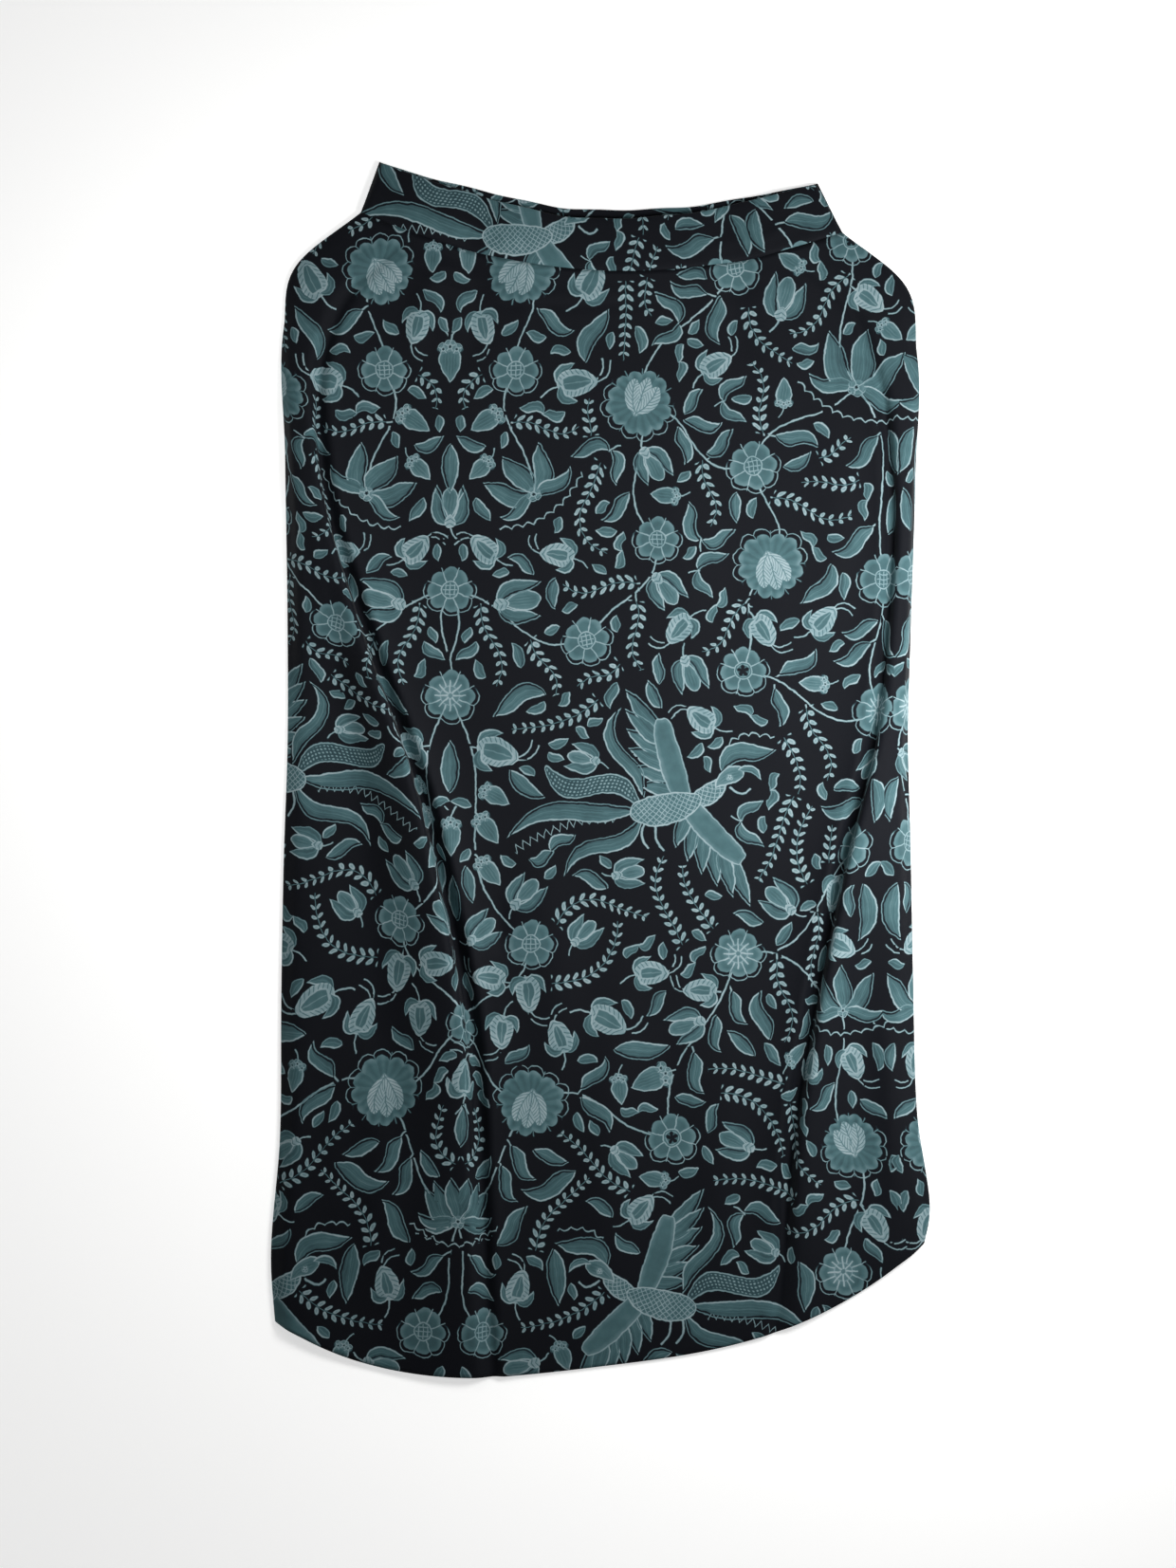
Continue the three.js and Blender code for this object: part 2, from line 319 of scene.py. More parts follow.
def front_height(numbers, x, folds, in_from_edge):
    """The outer face of the front: the folds and creases on its flat lay, turned down at the sides."""
    fade = smooth_step(in_from_edge, 0, CREASE_FADE) * (1 - SEAM_CALM * numbers[CLIMB])
    climb = numbers[CLIMB] * (ONTO_BAND + band_rise(x))
    lay = FRONT_LIFT + PANEL_WALL + folds + climb + creased(x, row_y(numbers, x), CREASES) * fade
    lay = LOWEST + np.logaddexp(0, (lay - LOWEST) / SOFTNESS) * SOFTNESS
    turn = np.sqrt(1 - (1 - np.clip(in_from_edge / TURN, 0, 1)) ** 2)
    return EDGE_LIFT + (lay - EDGE_LIFT) * turn, 1


def back_height(numbers, x, folds, in_from_edge):
    """The outer face of the back, which lies on the table and lifts a little under the folds."""
    return BACK_SHARE * np.clip(folds - BACK_FLAT_UNDER, 0, None), 0


front_points, front_places = panel_points(CELL, front_height)
back_points, back_places = panel_points(BACK_CELL, back_height)
print("front panel:", front_points.shape, "highest", front_points[..., 2].max().round(1), "mm")
print("back panel:", back_points.shape, "highest", back_points[..., 2].max().round(1), "mm")

# %% [markdown]
# ## From points to a mesh
#
# A grid made by bmesh has its points in rows already, so each is moved to its place. The shell's
# thickness comes from a Solidify modifier, inwards from the printed side.

# %% Cloth from a grid
collection = bpy.context.scene.collection


def cloth_from(name, points, places, material):
    """A sheet of cloth through rows of points, in millimetres. Its UV map is the flat cloth, in metres."""
    rows, columns = points.shape[:2]
    grid = bmesh.new()
    bmesh.ops.create_grid(grid, x_segments=columns - 1, y_segments=rows - 1, size=1)
    mesh = bpy.data.meshes.new(name)
    grid.to_mesh(mesh)
    grid.free()
    corner = np.empty(len(mesh.vertices) * 3)
    mesh.vertices.foreach_get("co", corner)
    corner = corner.reshape(-1, 3)
    i = np.rint((corner[:, 0] + 1) / 2 * (columns - 1)).astype(int)
    j = np.rint((corner[:, 1] + 1) / 2 * (rows - 1)).astype(int)
    mesh.vertices.foreach_set("co", (points[j, i] * MM).ravel())
    used = np.empty(len(mesh.loops), np.int32)
    mesh.loops.foreach_get("vertex_index", used)
    flat = places[j, i][used]
    cloth_map = mesh.uv_layers.new(name="FlatCloth")
    cloth_map.data.foreach_set("uv", (flat * MM).ravel())
    mesh.polygons.foreach_set("use_smooth", np.ones(len(mesh.polygons), bool))
    mesh.materials.append(material)
    mesh.update()
    piece = bpy.data.objects.new(name, mesh)
    collection.objects.link(piece)
    return piece, flat.reshape(-1, 4, 2)


def thicken(piece):
    wall = piece.modifiers.new("Shell", "SOLIDIFY")
    wall.thickness = SHELL * MM
    wall.offset = -1
    wall.use_even_offset = False


# %% [markdown]
# ## The print
#
# Batik is drawn with a wax pen, so the print here is drawn with strokes too. A stroke is a curve
# from a start past a bend to an end, with a width and a kind of ink: a vine, a leaf, a petal, a
# sprig of leaflets, a dotted feather. Each face of the cloth remembers which stroke crosses it and
# how far along and aside of it its corners are, and the material draws the stroke's lines from
# that. So the lines stay sharp however near the camera is. Strokes lie in four layers, so that the
# leaves of one blossom can overlap.

# %% Strokes
VINE, LEAF, PETAL, SPRIG, FEATHER, ZIGZAG, WAVE, BODY, BUD, FLAME, BAR = range(11)
ROSETTE, STAR, SUNBURST, PEONY = range(11, 15)
LINES = (VINE, ZIGZAG, WAVE)
LENSES = (LEAF, PETAL, FEATHER, BODY, BUD, FLAME, BAR)
DISCS = (ROSETTE, STAR, SUNBURST, PEONY)
SKEW = {LEAF: 0.85, PETAL: 1.5, FEATHER: 1.0, BODY: 0.85, BUD: 0.75, FLAME: 1.1, BAR: 0.9}  # widest where
SQUARE = {LEAF: 0.95, PETAL: 0.6, FEATHER: 0.55, BODY: 0.55, BUD: 0.62, FLAME: 0.7, BAR: 0.25}  # how blunt
LAYERS, NO_INK = 4, -1
UNDER, LOW, HIGH, TOP = range(LAYERS)  # the layers of ink, from the cloth up

Stroke = namedtuple("Stroke", "ink layer start bend end width curl")


def stroke(ink, layer, start, bend, end, width, curl=0):
    """curl is how far a lens or a sprig swings to the left and back to the right of its curve."""
    start, bend, end = (np.array(point, float) for point in (start, bend, end))
    return Stroke(ink, layer, start, bend, end, width, curl)


def placed(strokes, x, y, turn=0, size=1, flip=1):
    """Strokes turned by degrees, scaled and moved. flip of -1 mirrors them first."""
    c, s = math.cos(math.radians(turn)), math.sin(math.radians(turn))
    matrix = np.array([[c * flip, -s], [s * flip, c]]) * size
    moved = []
    for a in strokes:
        start, bend, end = (matrix @ point + (x, y) for point in (a.start, a.bend, a.end))
        width = a.width if a.ink in DISCS else a.width * size
        moved.append(Stroke(a.ink, a.layer, start, bend, end, width, a.curl * size * flip))
    return moved


print(len(LENSES), "kinds of leaf-shaped ink,", len(LINES), "of line and", len(DISCS), "of round flower")

# %% [markdown]
# ## Leaves and flowers
#
# A motif is a short list of strokes round its own root, in millimetres, pointing up. A round flower
# is one stroke from its heart to its rim. The wide blossoms are built from petals in two layers, so
# that neighbours overlap.

# %% Leaves and flowers
def disc(ink, radius, petals, layer=HIGH, x=0, y=0):
    return [stroke(ink, layer, (x, y), (x, y), (x, y + radius), petals)]


def leaf(length=36, layer=LOW, bend=8, curl=2.5):
    return [stroke(LEAF, layer, (0, 0), (bend, length * 0.5), (0, length), length * 0.12 + 2.1, curl)]


def spindle():
    """A straight upright leaf, for the line that the design is mirrored on."""
    return leaf(36, HIGH, 0, 0)


def sprig(length=60, layer=LOW, bend=8, curl=4):
    return [stroke(SPRIG, layer, (0, 0), (bend, length * 0.5), (0, length), 6.4, curl)]


def rosette():
    return disc(ROSETTE, 20.5, 8)


def star_flower():
    return disc(STAR, 20.5, 8)


def sunburst():
    return disc(SUNBURST, 21.5, 8)


def peony():
    """A wide scalloped flower with a jagged pale flame for a heart."""
    flames = [
        stroke(FLAME, TOP, (0, -9), (-10, 2), (-9, 17), 6),
        stroke(FLAME, TOP, (0, -9), (10, 2), (9, 17), 6),
        stroke(FLAME, HIGH, (0, -12), (0, 4), (0, 21), 7),
    ]
    return disc(PEONY, 29.5, 12, LOW) + flames


def orchid():
    """A wide-open blossom: broad pointed petals in a fan over a scalloped border."""
    return disc(STAR, 6, 5, TOP) + [
        stroke(LEAF, HIGH, (0, 0), (-3, 20), (-8, 40), 9.5, -1.5),
        stroke(LEAF, LOW, (0, 0), (-24, 4), (-33, 28), 8.5, 2),
        stroke(LEAF, LOW, (0, 0), (20, 8), (24, 36), 8.5, -2),
        stroke(LEAF, HIGH, (0, 0), (20, -8), (38, 6), 6.5, 2),
        stroke(LEAF, HIGH, (0, 0), (-16, -10), (-34, -4), 5.5, -2),
        stroke(WAVE, UNDER, (-38, -12), (2, -34), (44, -4), 2),
    ]


print("an orchid takes", len(orchid()), "strokes")

# %% [markdown]
# ## Buds, fruits and pairs of leaves
#
# The small motifs fill the space between the large ones. Each hangs on a short stem that meets a
# vine, or on none where it floats.

# %% Buds, fruits and pairs of leaves
def stem(reach=14, aside=6):
    return [stroke(VINE, UNDER, (0, 1), (0, -reach * 0.6), (aside, -reach), 0.7)]


def bud():
    """A serrated fruit on two sepals, with two long feelers at its tip."""
    return stem() + [
        stroke(BUD, HIGH, (0, 0), (-2, 15), (2, 32), 11),
        stroke(LEAF, LOW, (0, 3), (-16, 0), (-16, 17), 3.8, 1),
        stroke(LEAF, TOP, (0, 3), (16, 0), (14, 15), 3.8, -1),
        stroke(VINE, UNDER, (1, 29), (-3, 40), (-15, 39), 0.65),
        stroke(VINE, UNDER, (2, 29), (2, 44), (-12, 45), 0.65),
    ]


def tulip():
    """A blossom with two curled outer petals and one between them."""
    return stem(12, -5) + [
        stroke(PETAL, UNDER, (0, 2), (0, 16), (0, 31), 7),
        stroke(LEAF, LOW, (0, 0), (-15, 10), (-11, 33), 5.6, 1.5),
        stroke(LEAF, HIGH, (0, 0), (15, 10), (13, 29), 5.6, -1.5),
        stroke(BUD, TOP, (0, -3), (0, 1), (0, 8), 4.5),
    ]


def berry():
    """A heart-shaped fruit with a frilled cap."""
    fruit = [stroke(PETAL, LOW, (0, 30), (0, 16), (0, 1), 9)]
    for layer, x, y in ((HIGH, -5, 3.5), (HIGH, 5, 3.5), (TOP, 0, 1.5)):
        fruit += disc(STAR, 4.7, 5, layer, x, y)
    return stem(12, 5) + fruit


def twin_leaf():
    """Two curled leaves from one node."""
    return stem(10, 3) + [
        stroke(LEAF, LOW, (0, 0), (-17, 4), (-22, 29), 6.8, 2.5),
        stroke(LEAF, HIGH, (0, 0), (17, 1), (26, 19), 6.2, -2.5),
    ]


def pair():
    """Two leaves, one growing from the other's tip."""
    return [
        stroke(LEAF, LOW, (0, 0), (-6, 13), (2, 26), 6.6, 2),
        stroke(LEAF, HIGH, (2, 24), (15, 32), (13, 50), 6.6, -2.5),
    ]


print("a bud takes", len(bud()), "strokes")

# %% [markdown]
# ## The bird
#
# The largest motif is a long-tailed bird in flight. Its body is netted, each wing is a blunt bar
# with feathers packed along its trailing side, and long plumes stream from its tail.

# %% Bird
def wing(length, turn, side):
    """A broad blunt bar with long feathers packed along its trailing side."""
    strokes = []
    for k in range(6):
        a = math.radians(90 + side * (74 - 9 * k))
        out = np.array([math.cos(a), math.sin(a)])
        lean = np.array([-out[1], out[0]]) * -7 * side
        root = np.array([3 * side, length * (0.1 + 0.155 * k)])
        reach = 36 + 2.6 * k
        layer = UNDER if k % 2 else LOW
        bend, tip = root + out * reach * 0.5 - lean, root + out * reach
        strokes.append(stroke(LEAF, layer, root, bend, tip, 6.6, side))
    edging = stroke(WAVE, UNDER, (-12 * side, 4), (-14 * side, length * 0.5), (-9 * side, length), 2)
    bar = stroke(BAR, HIGH, (0, -6), (-4 * side, length * 0.5), (0, length + 6), 9.5)
    return placed([*strokes, edging, bar], 0, 0, turn)


def bird():
    """A long-tailed bird in flight: a netted body, two feathered wings and streaming tail plumes."""
    tail = [
        (FEATHER, HIGH, (-22, 0), (-58, 16), (-96, 34), 9, -9),
        (LEAF, LOW, (-22, -4), (-70, 10), (-128, -22), 8, 5),
        (LEAF, HIGH, (-20, -8), (-50, -28), (-84, -54), 7, 7),
        (LEAF, LOW, (-18, 6), (-44, 34), (-34, 78), 6.5, -7),
        (ZIGZAG, UNDER, (-40, -10), (-80, -6), (-122, -32), 2.8, 0),
    ]
    head = [
        (BODY, LOW, (18, 2), (36, 4), (46, 20), 8, 0),
        (PETAL, HIGH, (38, 12), (48, 24), (62, 23), 7, 0),
        (LEAF, TOP, (57, 25), (70, 30), (75, 17), 3, 0),
        (LEAF, UNDER, (44, 24), (56, 46), (88, 40), 8, 3),
        (WAVE, LOW, (50, 46), (62, 58), (86, 50), 2, 0),
        (VINE, LOW, (50, 12), (60, 2), (66, 10), 0.9, 0),
    ]
    legs = [
        (VINE, UNDER, (-16, -10), (-26, -22), (-16, -34), 0.9, 0),
        (VINE, UNDER, (-8, -12), (-14, -26), (-4, -36), 0.9, 0),
    ]
    wings = placed(wing(54, 0, 1), 12, 10, 14) + placed(wing(54, 0, -1), 18, -2, 222)
    body = [stroke(BODY, TOP, (-30, -4), (0, -8), (27, 5), 12.5)]
    return wings + [stroke(*row) for row in tail + head + legs] + body + disc(STAR, 2.6, 5, TOP, 50, 20)


MOTIFS = {
    "rosette": rosette,
    "star": star_flower,
    "sunburst": sunburst,
    "peony": peony,
    "orchid": orchid,
    "bird": bird,
    "bud": bud,
    "tulip": tulip,
    "berry": berry,
    "twin leaf": twin_leaf,
    "pair": pair,
    "leaf": leaf,
    "spindle": spindle,
    "sprig": sprig,
}
print("a bird takes", len(bird()), "strokes;", len(MOTIFS), "motifs in all")

# %% [markdown]
# ## The design
#
# The design runs over the whole width of the cloth, from the hem to the waist, and is mirrored again
# and again along it, as on printed batik. The large motifs are listed in one half of it, in
# millimetres from the mirror line and from the hem.

# %% Large motifs
HALF_WIDTH, CLOTH_WIDTH = 362, 976
Placed = namedtuple("Placed", "name motif x y turn size flip", defaults=(1,))
CHART = [
    Placed("top sunburst", "sunburst", 150, 934, 0, 0.9),
    Placed("top rosette", "rosette", 226, 886, 10, 1.0),
    Placed("top star", "star", 318, 908, 0, 0.95),
    Placed("high peony", "peony", 56, 884, 150, 1.0),
    Placed("high rosette", "rosette", 52, 806, 0, 1.0),
    Placed("side peony", "peony", 150, 780, -20, 1.0),
    Placed("orchid one", "orchid", 322, 792, -24, 1.15),
    Placed("side rosette", "rosette", 240, 730, 8, 1.05),
    Placed("orchid two", "orchid", 66, 708, 28, 0.95),
    Placed("rosette three", "rosette", 164, 672, 0, 0.95),
    Placed("low peony", "peony", 254, 652, 196, 1.0),
    Placed("axis rosette", "rosette", 0, 632, 0, 1.0),
    Placed("rosette four", "rosette", 108, 592, 12, 1.0),
    Placed("far rosette", "rosette", 344, 640, 0, 1.1),
    Placed("middle star", "star", 232, 568, 5, 1.0),
    Placed("axis sunburst", "sunburst", 0, 548, 0, 1.05),
    Placed("bird", "bird", 172, 462, 2, 1.0),
    Placed("far sunburst", "sunburst", 342, 536, 0, 1.1),
    Placed("edge rosette", "rosette", 332, 426, 14, 1.1),
    Placed("low sunburst", "sunburst", 228, 344, 0, 1.0),
    Placed("pair rosette", "rosette", 64, 352, 0, 1.0),
    Placed("orchid three", "orchid", 330, 296, -10, 0.9),
    Placed("axis star", "star", 0, 282, 0, 0.9),
    Placed("twin peony", "peony", 64, 226, 170, 1.0),
    Placed("hem star", "star", 176, 198, 8, 1.05),
    Placed("far peony", "peony", 330, 190, 15, 0.9),
    Placed("bird two", "bird", 166, 70, -4, 0.98, -1),
    Placed("hem sunburst", "sunburst", 314, 92, 0, 1.0),
    Placed("axis orchid", "orchid", 0, 130, 0, 0.85),
    Placed("hem rosette", "rosette", 24, 44, 0, 1.0),
    Placed("last star", "star", 340, 14, 0, 0.9),
    Placed("leaf one", "spindle", 0, 900, 0, 1.0),
    Placed("pod one", "berry", 0, 826, 180, 1.0),
    Placed("leaf two", "spindle", 0, 748, 180, 1.1),
    Placed("flower one", "tulip", 0, 684, 0, 0.95),
    Placed("leaf three", "spindle", 0, 470, 0, 1.2),
    Placed("pod two", "berry", 0, 448, 180, 0.95),
    Placed("leaf four", "spindle", 0, 366, 0, 1.1),
    Placed("flower two", "bud", 0, 226, 0, 0.9),
    Placed("leaf five", "spindle", 0, 188, 0, 0.9),
]
print(len(CHART), "motifs placed by hand")

# %% [markdown]
# ## Vines
#
# Vines join the flowers. Each is one stroke that bows aside from the straight line between two of
# them and sways a little, as a hand draws it.

# %% Vines
Vine = namedtuple("Vine", "start end bend curl")
VINES = [
    Vine("high peony", "high rosette", 16, 5),
    Vine("high rosette", "orchid two", -18, -6),
    Vine("side peony", "side rosette", -14, 9),
    Vine("side rosette", "low peony", 18, -4),
    Vine("side rosette", "orchid one", 16, 6),
    Vine("side peony", "rosette three", -20, 6),
    Vine("rosette three", "rosette four", 18, 5),
    Vine("axis rosette", "rosette four", -16, 7),
    Vine("axis rosette", "axis sunburst", 8, 4),
    Vine("low peony", "middle star", -12, -5),
    Vine("middle star", "far sunburst", -22, 8),
    Vine("orchid one", "far rosette", 20, 6),
    Vine("far rosette", "far sunburst", -14, 5),
    Vine("far sunburst", "edge rosette", 20, 6),
    Vine("edge rosette", "low sunburst", 26, -9),
    Vine("low sunburst", "orchid three", 18, 6),
    Vine("axis sunburst", "pair rosette", -26, 12),
    Vine("pair rosette", "axis star", 14, 5),
    Vine("axis star", "twin peony", -12, 5),
    Vine("low sunburst", "hem star", -22, 7),
    Vine("twin peony", "hem star", 20, 8),
    Vine("orchid three", "far peony", -14, 5),
    Vine("far peony", "hem sunburst", 16, 5),
    Vine("twin peony", "axis orchid", 12, -4),
    Vine("axis orchid", "hem rosette", -14, 4),
    Vine("hem sunburst", "last star", 12, 4),
    Vine("top rosette", "side peony", -18, 6),
    Vine("top sunburst", "top rosette", 14, 5),
    Vine("top star", "orchid one", -16, 6),
]
charted = {spot.name: spot for spot in CHART}


def bent(start, end, bend):
    """The bend of a stroke that bows aside from its chord."""
    chord = end - start
    return (start + end) / 2 + np.array([-chord[1], chord[0]]) / np.linalg.norm(chord) * bend


def curve_points(a, count=25):
    t = np.linspace(0, 1, count)[:, None]
    return (1 - t) ** 2 * a.start + 2 * t * (1 - t) * a.bend + t * t * a.end


def swung_curve(a, count):
    """Points along a stroke with its curl, and the way to its left at each."""
    curve = curve_points(a, count)
    step = np.gradient(curve, axis=0)
    aside = np.stack([-step[:, 1], step[:, 0]], axis=1) / np.linalg.norm(step, axis=1)[:, None]
    return curve + aside * a.curl * np.sin(np.linspace(0, 2 * np.pi, count))[:, None], aside


# %% [markdown]
# ## Room on the cloth
#
# A batik maker leaves no wide gap of plain ground, yet keeps one motif off the next. A grid of
# small cells notes where ink lies already, so that a new motif can be tried and kept only if it
# fits.

# %% Room on the cloth
ROOM_CELL = 1.5  # millimetres
CURVE_SPOTS = 40
taken = np.zeros((int(CLOTH_WIDTH / ROOM_CELL), int(HALF_WIDTH / ROOM_CELL) + 2), bool)
RADII, TURNS = np.meshgrid(np.linspace(0, 1, 24), np.linspace(0, 2 * np.pi, 80))
ROUND = np.stack([RADII * np.sin(TURNS), RADII * np.cos(TURNS)], axis=-1).reshape(-1, 2)
TAPER = np.sin(np.linspace(0.15, np.pi - 0.15, CURVE_SPOTS))[:, None] ** 0.6


def covered_spots(a, margin):
    """Spots all over a stroke and a margin round it."""
    if a.ink in DISCS:
        return a.start + ROUND * (np.linalg.norm(a.end - a.start) + margin)
    curve, aside = swung_curve(a, CURVE_SPOTS)
    taper = 1 if a.ink in (*LINES, SPRIG) else TAPER
    reach = a.width + margin
    offsets = np.arange(-reach, reach + 0.1, ROOM_CELL)
    return (curve[None] + (aside * taper)[None] * offsets[:, None, None]).reshape(-1, 2)


def cells_of(strokes, margin):
    """The rows and columns of the grid that some strokes cover, and which of them are on the cloth."""
    spots = np.concatenate([covered_spots(a, margin) for a in strokes])
    rows, columns = np.floor(spots / ROOM_CELL).astype(int).T[::-1]
    on_cloth = (columns >= 0) & (columns < taken.shape[1]) & (rows >= 0) & (rows < taken.shape[0])
    return rows, columns, on_cloth


def occupy(strokes, margin):
    rows, columns, on_cloth = cells_of(strokes, margin)
    taken[rows[on_cloth], columns[on_cloth]] = True


def fits(strokes, margin):
    rows, columns, on_cloth = cells_of(strokes, margin)
    return on_cloth.all() and not taken[rows, columns].any()


pattern = []
for spot in CHART:
    strokes = placed(MOTIFS[spot.motif](), spot.x, spot.y, spot.turn, spot.size, spot.flip)
    occupy(strokes, 1.0)
    pattern += strokes
print("the large motifs take", round(taken.mean() * 100), "% of the cloth")

# %% [markdown]
# ## Leaves along the vines
#
# Leaves, buds and fruits grow from both sides of each vine, wherever they have room. The random
# numbers are seeded, so that the print comes out the same each time.

# %% Leaves along the vines
VINE_WIDTH, STALK_WIDTH = 0.75, 0.7  # half widths, in millimetres
VINE_SPOTS = 60  # places counted along a vine
LEAF_SPOTS = range(6, 56, 3)  # those that a leaf is tried at, clear of the vine's ends
LEAN = 30, 70  # degrees that a leaf leans away from its vine
STALK = 3, 7  # millimetres from the vine to the foot of a leaf
GROWN_SIZES = 0.8, 1.12
GROWN_MARGIN, VINE_MARGIN = 0.7, 0.8  # millimetres of bare ground
rng = np.random.default_rng(20)
vine_strokes = []
for vine in VINES:
    a, b = charted[vine.start], charted[vine.end]
    start, end = np.array([a.x, a.y], float), np.array([b.x, b.y], float)
    middle = bent(start, end, vine.bend)
    vine_strokes.append(stroke(VINE, UNDER, start, middle, end, VINE_WIDTH, vine.curl))
pattern += vine_strokes

GROWN = {"leaf": 0.2, "twin leaf": 0.18, "bud": 0.2, "berry": 0.08, "tulip": 0.1, "sprig": 0.24}
grown = 0
for vine in vine_strokes:
    curve, _ = swung_curve(vine, VINE_SPOTS)
    for k in LEAF_SPOTS:
        ahead = curve[k + 1] - curve[k - 1]
        heading = math.degrees(math.atan2(ahead[1], ahead[0])) - 90
        for side in rng.permutation([-1, 1]):
            name = rng.choice(list(GROWN), p=list(GROWN.values()))
            turn = heading + side * rng.uniform(*LEAN)
            out = math.radians(turn + 90)
            root = curve[k] + np.array([math.cos(out), math.sin(out)]) * rng.uniform(*STALK)
            trial = placed(MOTIFS[name](), *root, turn, rng.uniform(*GROWN_SIZES), side)
            # A motif's own stem gives way to one that starts on the vine.
            trial = [a for a in trial if not (a.ink == VINE and np.linalg.norm(a.start - root) < 3)]
            if fits(trial, GROWN_MARGIN):
                occupy(trial, VINE_MARGIN)
                stalk = stroke(VINE, UNDER, curve[k], (curve[k] + root) / 2, root, STALK_WIDTH)
                pattern += trial + [stalk]
                grown += 1
    occupy([vine], VINE_MARGIN)
print("grown from vines:", grown)

# %% [markdown]
# ## Filling the gaps
#
# What is still bare gets sprigs, buds, tulips and leaves at random places, the large ones first and
# the smallest leaves last.

# %% Filling the gaps
Filler = namedtuple("Filler", "name most tries sizes margin")
FILLERS = [
    Filler("sprig", 18, 400, (72, 62), 0.5),
    Filler("bud", 20, 600, (1, 0.85), 0.5),
    Filler("tulip", 14, 600, (1.05, 0.9, 0.78), 0.5),
    Filler("twin leaf", 14, 700, (1, 0.88, 0.76), 0.5),
    Filler("sprig", 26, 700, (56, 46), 0.4),
    Filler("leaf", 20, 600, (46, 40), 0.5),
    Filler("berry", 12, 500, (0.95, 0.75), 0.5),
    Filler("pair", 20, 700, (0.95, 0.82), 0.5),
    Filler("sprig", 30, 700, (38, 30), 0.3),
    Filler("leaf", 60, 900, (36, 30, 25), 0.5),
    Filler("pair", 30, 700, (0.7, 0.58), 0.4),
    Filler("leaf", 160, 2000, (22, 17, 14), 0.5),
]
TURNS_TRIED = 8


def filler_strokes(name, size):
    """A filler's strokes. Leaves and sprigs are drawn at a length, the rest at a scale."""
    if name in ("leaf", "sprig"):
        layer = int(rng.choice([LOW, HIGH, TOP]))
        sway = 0.35 if name == "leaf" else 0.5
        bend, curl = size * rng.uniform(-sway, sway), size * rng.uniform(-0.07, 0.07)
        return MOTIFS[name](size, layer, bend, curl), 1.0
    return MOTIFS[name](), size


def fill_at(filler, x, y):
    """Puts the largest size of a filler that has room at a place, and says whether one had."""
    for size in filler.sizes:
        for turn in rng.uniform(0, 360, TURNS_TRIED):
            shape, scale = filler_strokes(filler.name, size)
            trial = placed(shape, x, y, turn, scale, rng.choice([-1, 1]))
            if fits(trial, filler.margin):
                occupy(trial, filler.margin)
                pattern.extend(trial)
                return True
    return False


for filler in FILLERS:
    fitted = 0
    for x, y in rng.uniform((0, 0), (HALF_WIDTH, CLOTH_WIDTH - 2), (filler.tries, 2)):
        free = not taken[int(y / ROOM_CELL), int(x / ROOM_CELL)]
        if free and fitted < filler.most and fill_at(filler, x, y):
            fitted += 1
    print("filled with", filler.name, fitted)
print(len(pattern), "strokes in half of the design,", round(taken.mean() * 100), "% of it inked")

# %% [markdown]
# ## Measuring along a stroke
#
# To ink a face, its corners are measured along the curve of a stroke and aside of it. How deep a
# place is inside the stroke says whether the face belongs to it.

# %% Along and aside
REACH = 2.4  # faces this far outside a stroke still belong to it, so that none of it is cut off


def along_and_aside(a, points):
    """How far each point is along a stroke's curve and to the left of it."""
    curve = curve_points(a)
    steps = np.diff(curve, axis=0)
    lengths = np.maximum(np.linalg.norm(steps, axis=1), 1e-6)
    units = steps / lengths[:, None]
    begun = np.concatenate([[0], np.cumsum(lengths)])
    spare = a.width + abs(a.curl) + 6
    low = np.where(np.arange(len(steps)) == 0, -spare, 0)
    high = np.where(np.arange(len(steps)) == len(steps) - 1, lengths + spare, lengths)
    from_start = points[:, None, :] - curve[None, :-1]
    along = np.clip((from_start * units).sum(-1), low, high)
    apart = from_start - along[..., None] * units
    gap = np.linalg.norm(apart, axis=-1)
    best = gap.argmin(axis=1)
    pick = np.arange(len(points)), best
    left = units[best, 0] * apart[pick][:, 1] - units[best, 1] * apart[pick][:, 0]
    return begun[best] + along[pick], np.copysign(gap[pick], left), begun[-1]


def depth_inside(a, s, d, length):
    """How deep a place is inside a stroke, in millimetres, less than 0 outside it."""
    ends = np.minimum(s, length - s)
    d = d - a.curl * np.sin(2 * np.pi * np.clip(s / length, 0, 1))
    if a.ink in LENSES:
        q = np.clip(s / length, 0, 1) ** SKEW[a.ink]
        return np.minimum(a.width * (4 * q * (1 - q)) ** SQUARE[a.ink] - np.abs(d), ends)
    return np.minimum(a.width - np.abs(d), ends + (1 if a.ink == VINE else 0))


tail = stroke(LEAF, LOW, (0, 0), (40, 10), (80, 0), 6)
print("half way along a leaf:", [v.round(1) for v in along_and_aside(tail, np.array([[40.0, 7.0]]))[:2]])

# %% [markdown]
# ## Giving each face its stroke
#
# For every stroke, in each mirrored place that it has on the cloth, the faces near it are found.
# Where two strokes of one layer meet, a face takes the one that it lies deeper in. Strokes that
# overlap on purpose, such as the petals of an orchid, are in different layers.

# %% Ink on the faces
def copies(a, low, high, axis_x, base_y):
    """The stroke in each mirrored place that meets a stretch of cloth."""
    ends = np.array([a.start, a.bend, a.end])
    reach = (np.linalg.norm(a.end - a.start) if a.ink in DISCS else a.width + abs(a.curl)) + REACH
    y = ends[:, 1] + base_y
    if y.max() + reach < low[1] or y.min() - reach > high[1]:
        return
    for flip in (1, -1):
        for n in range(-2, 3):
            x = axis_x + 2 * HALF_WIDTH * n + flip * ends[:, 0]
            if x.max() + reach >= low[0] and x.min() - reach <= high[0]:
                start, bend, end = np.stack([x, y], axis=1)
                yield a._replace(start=start, bend=bend, end=end, curl=a.curl * flip)


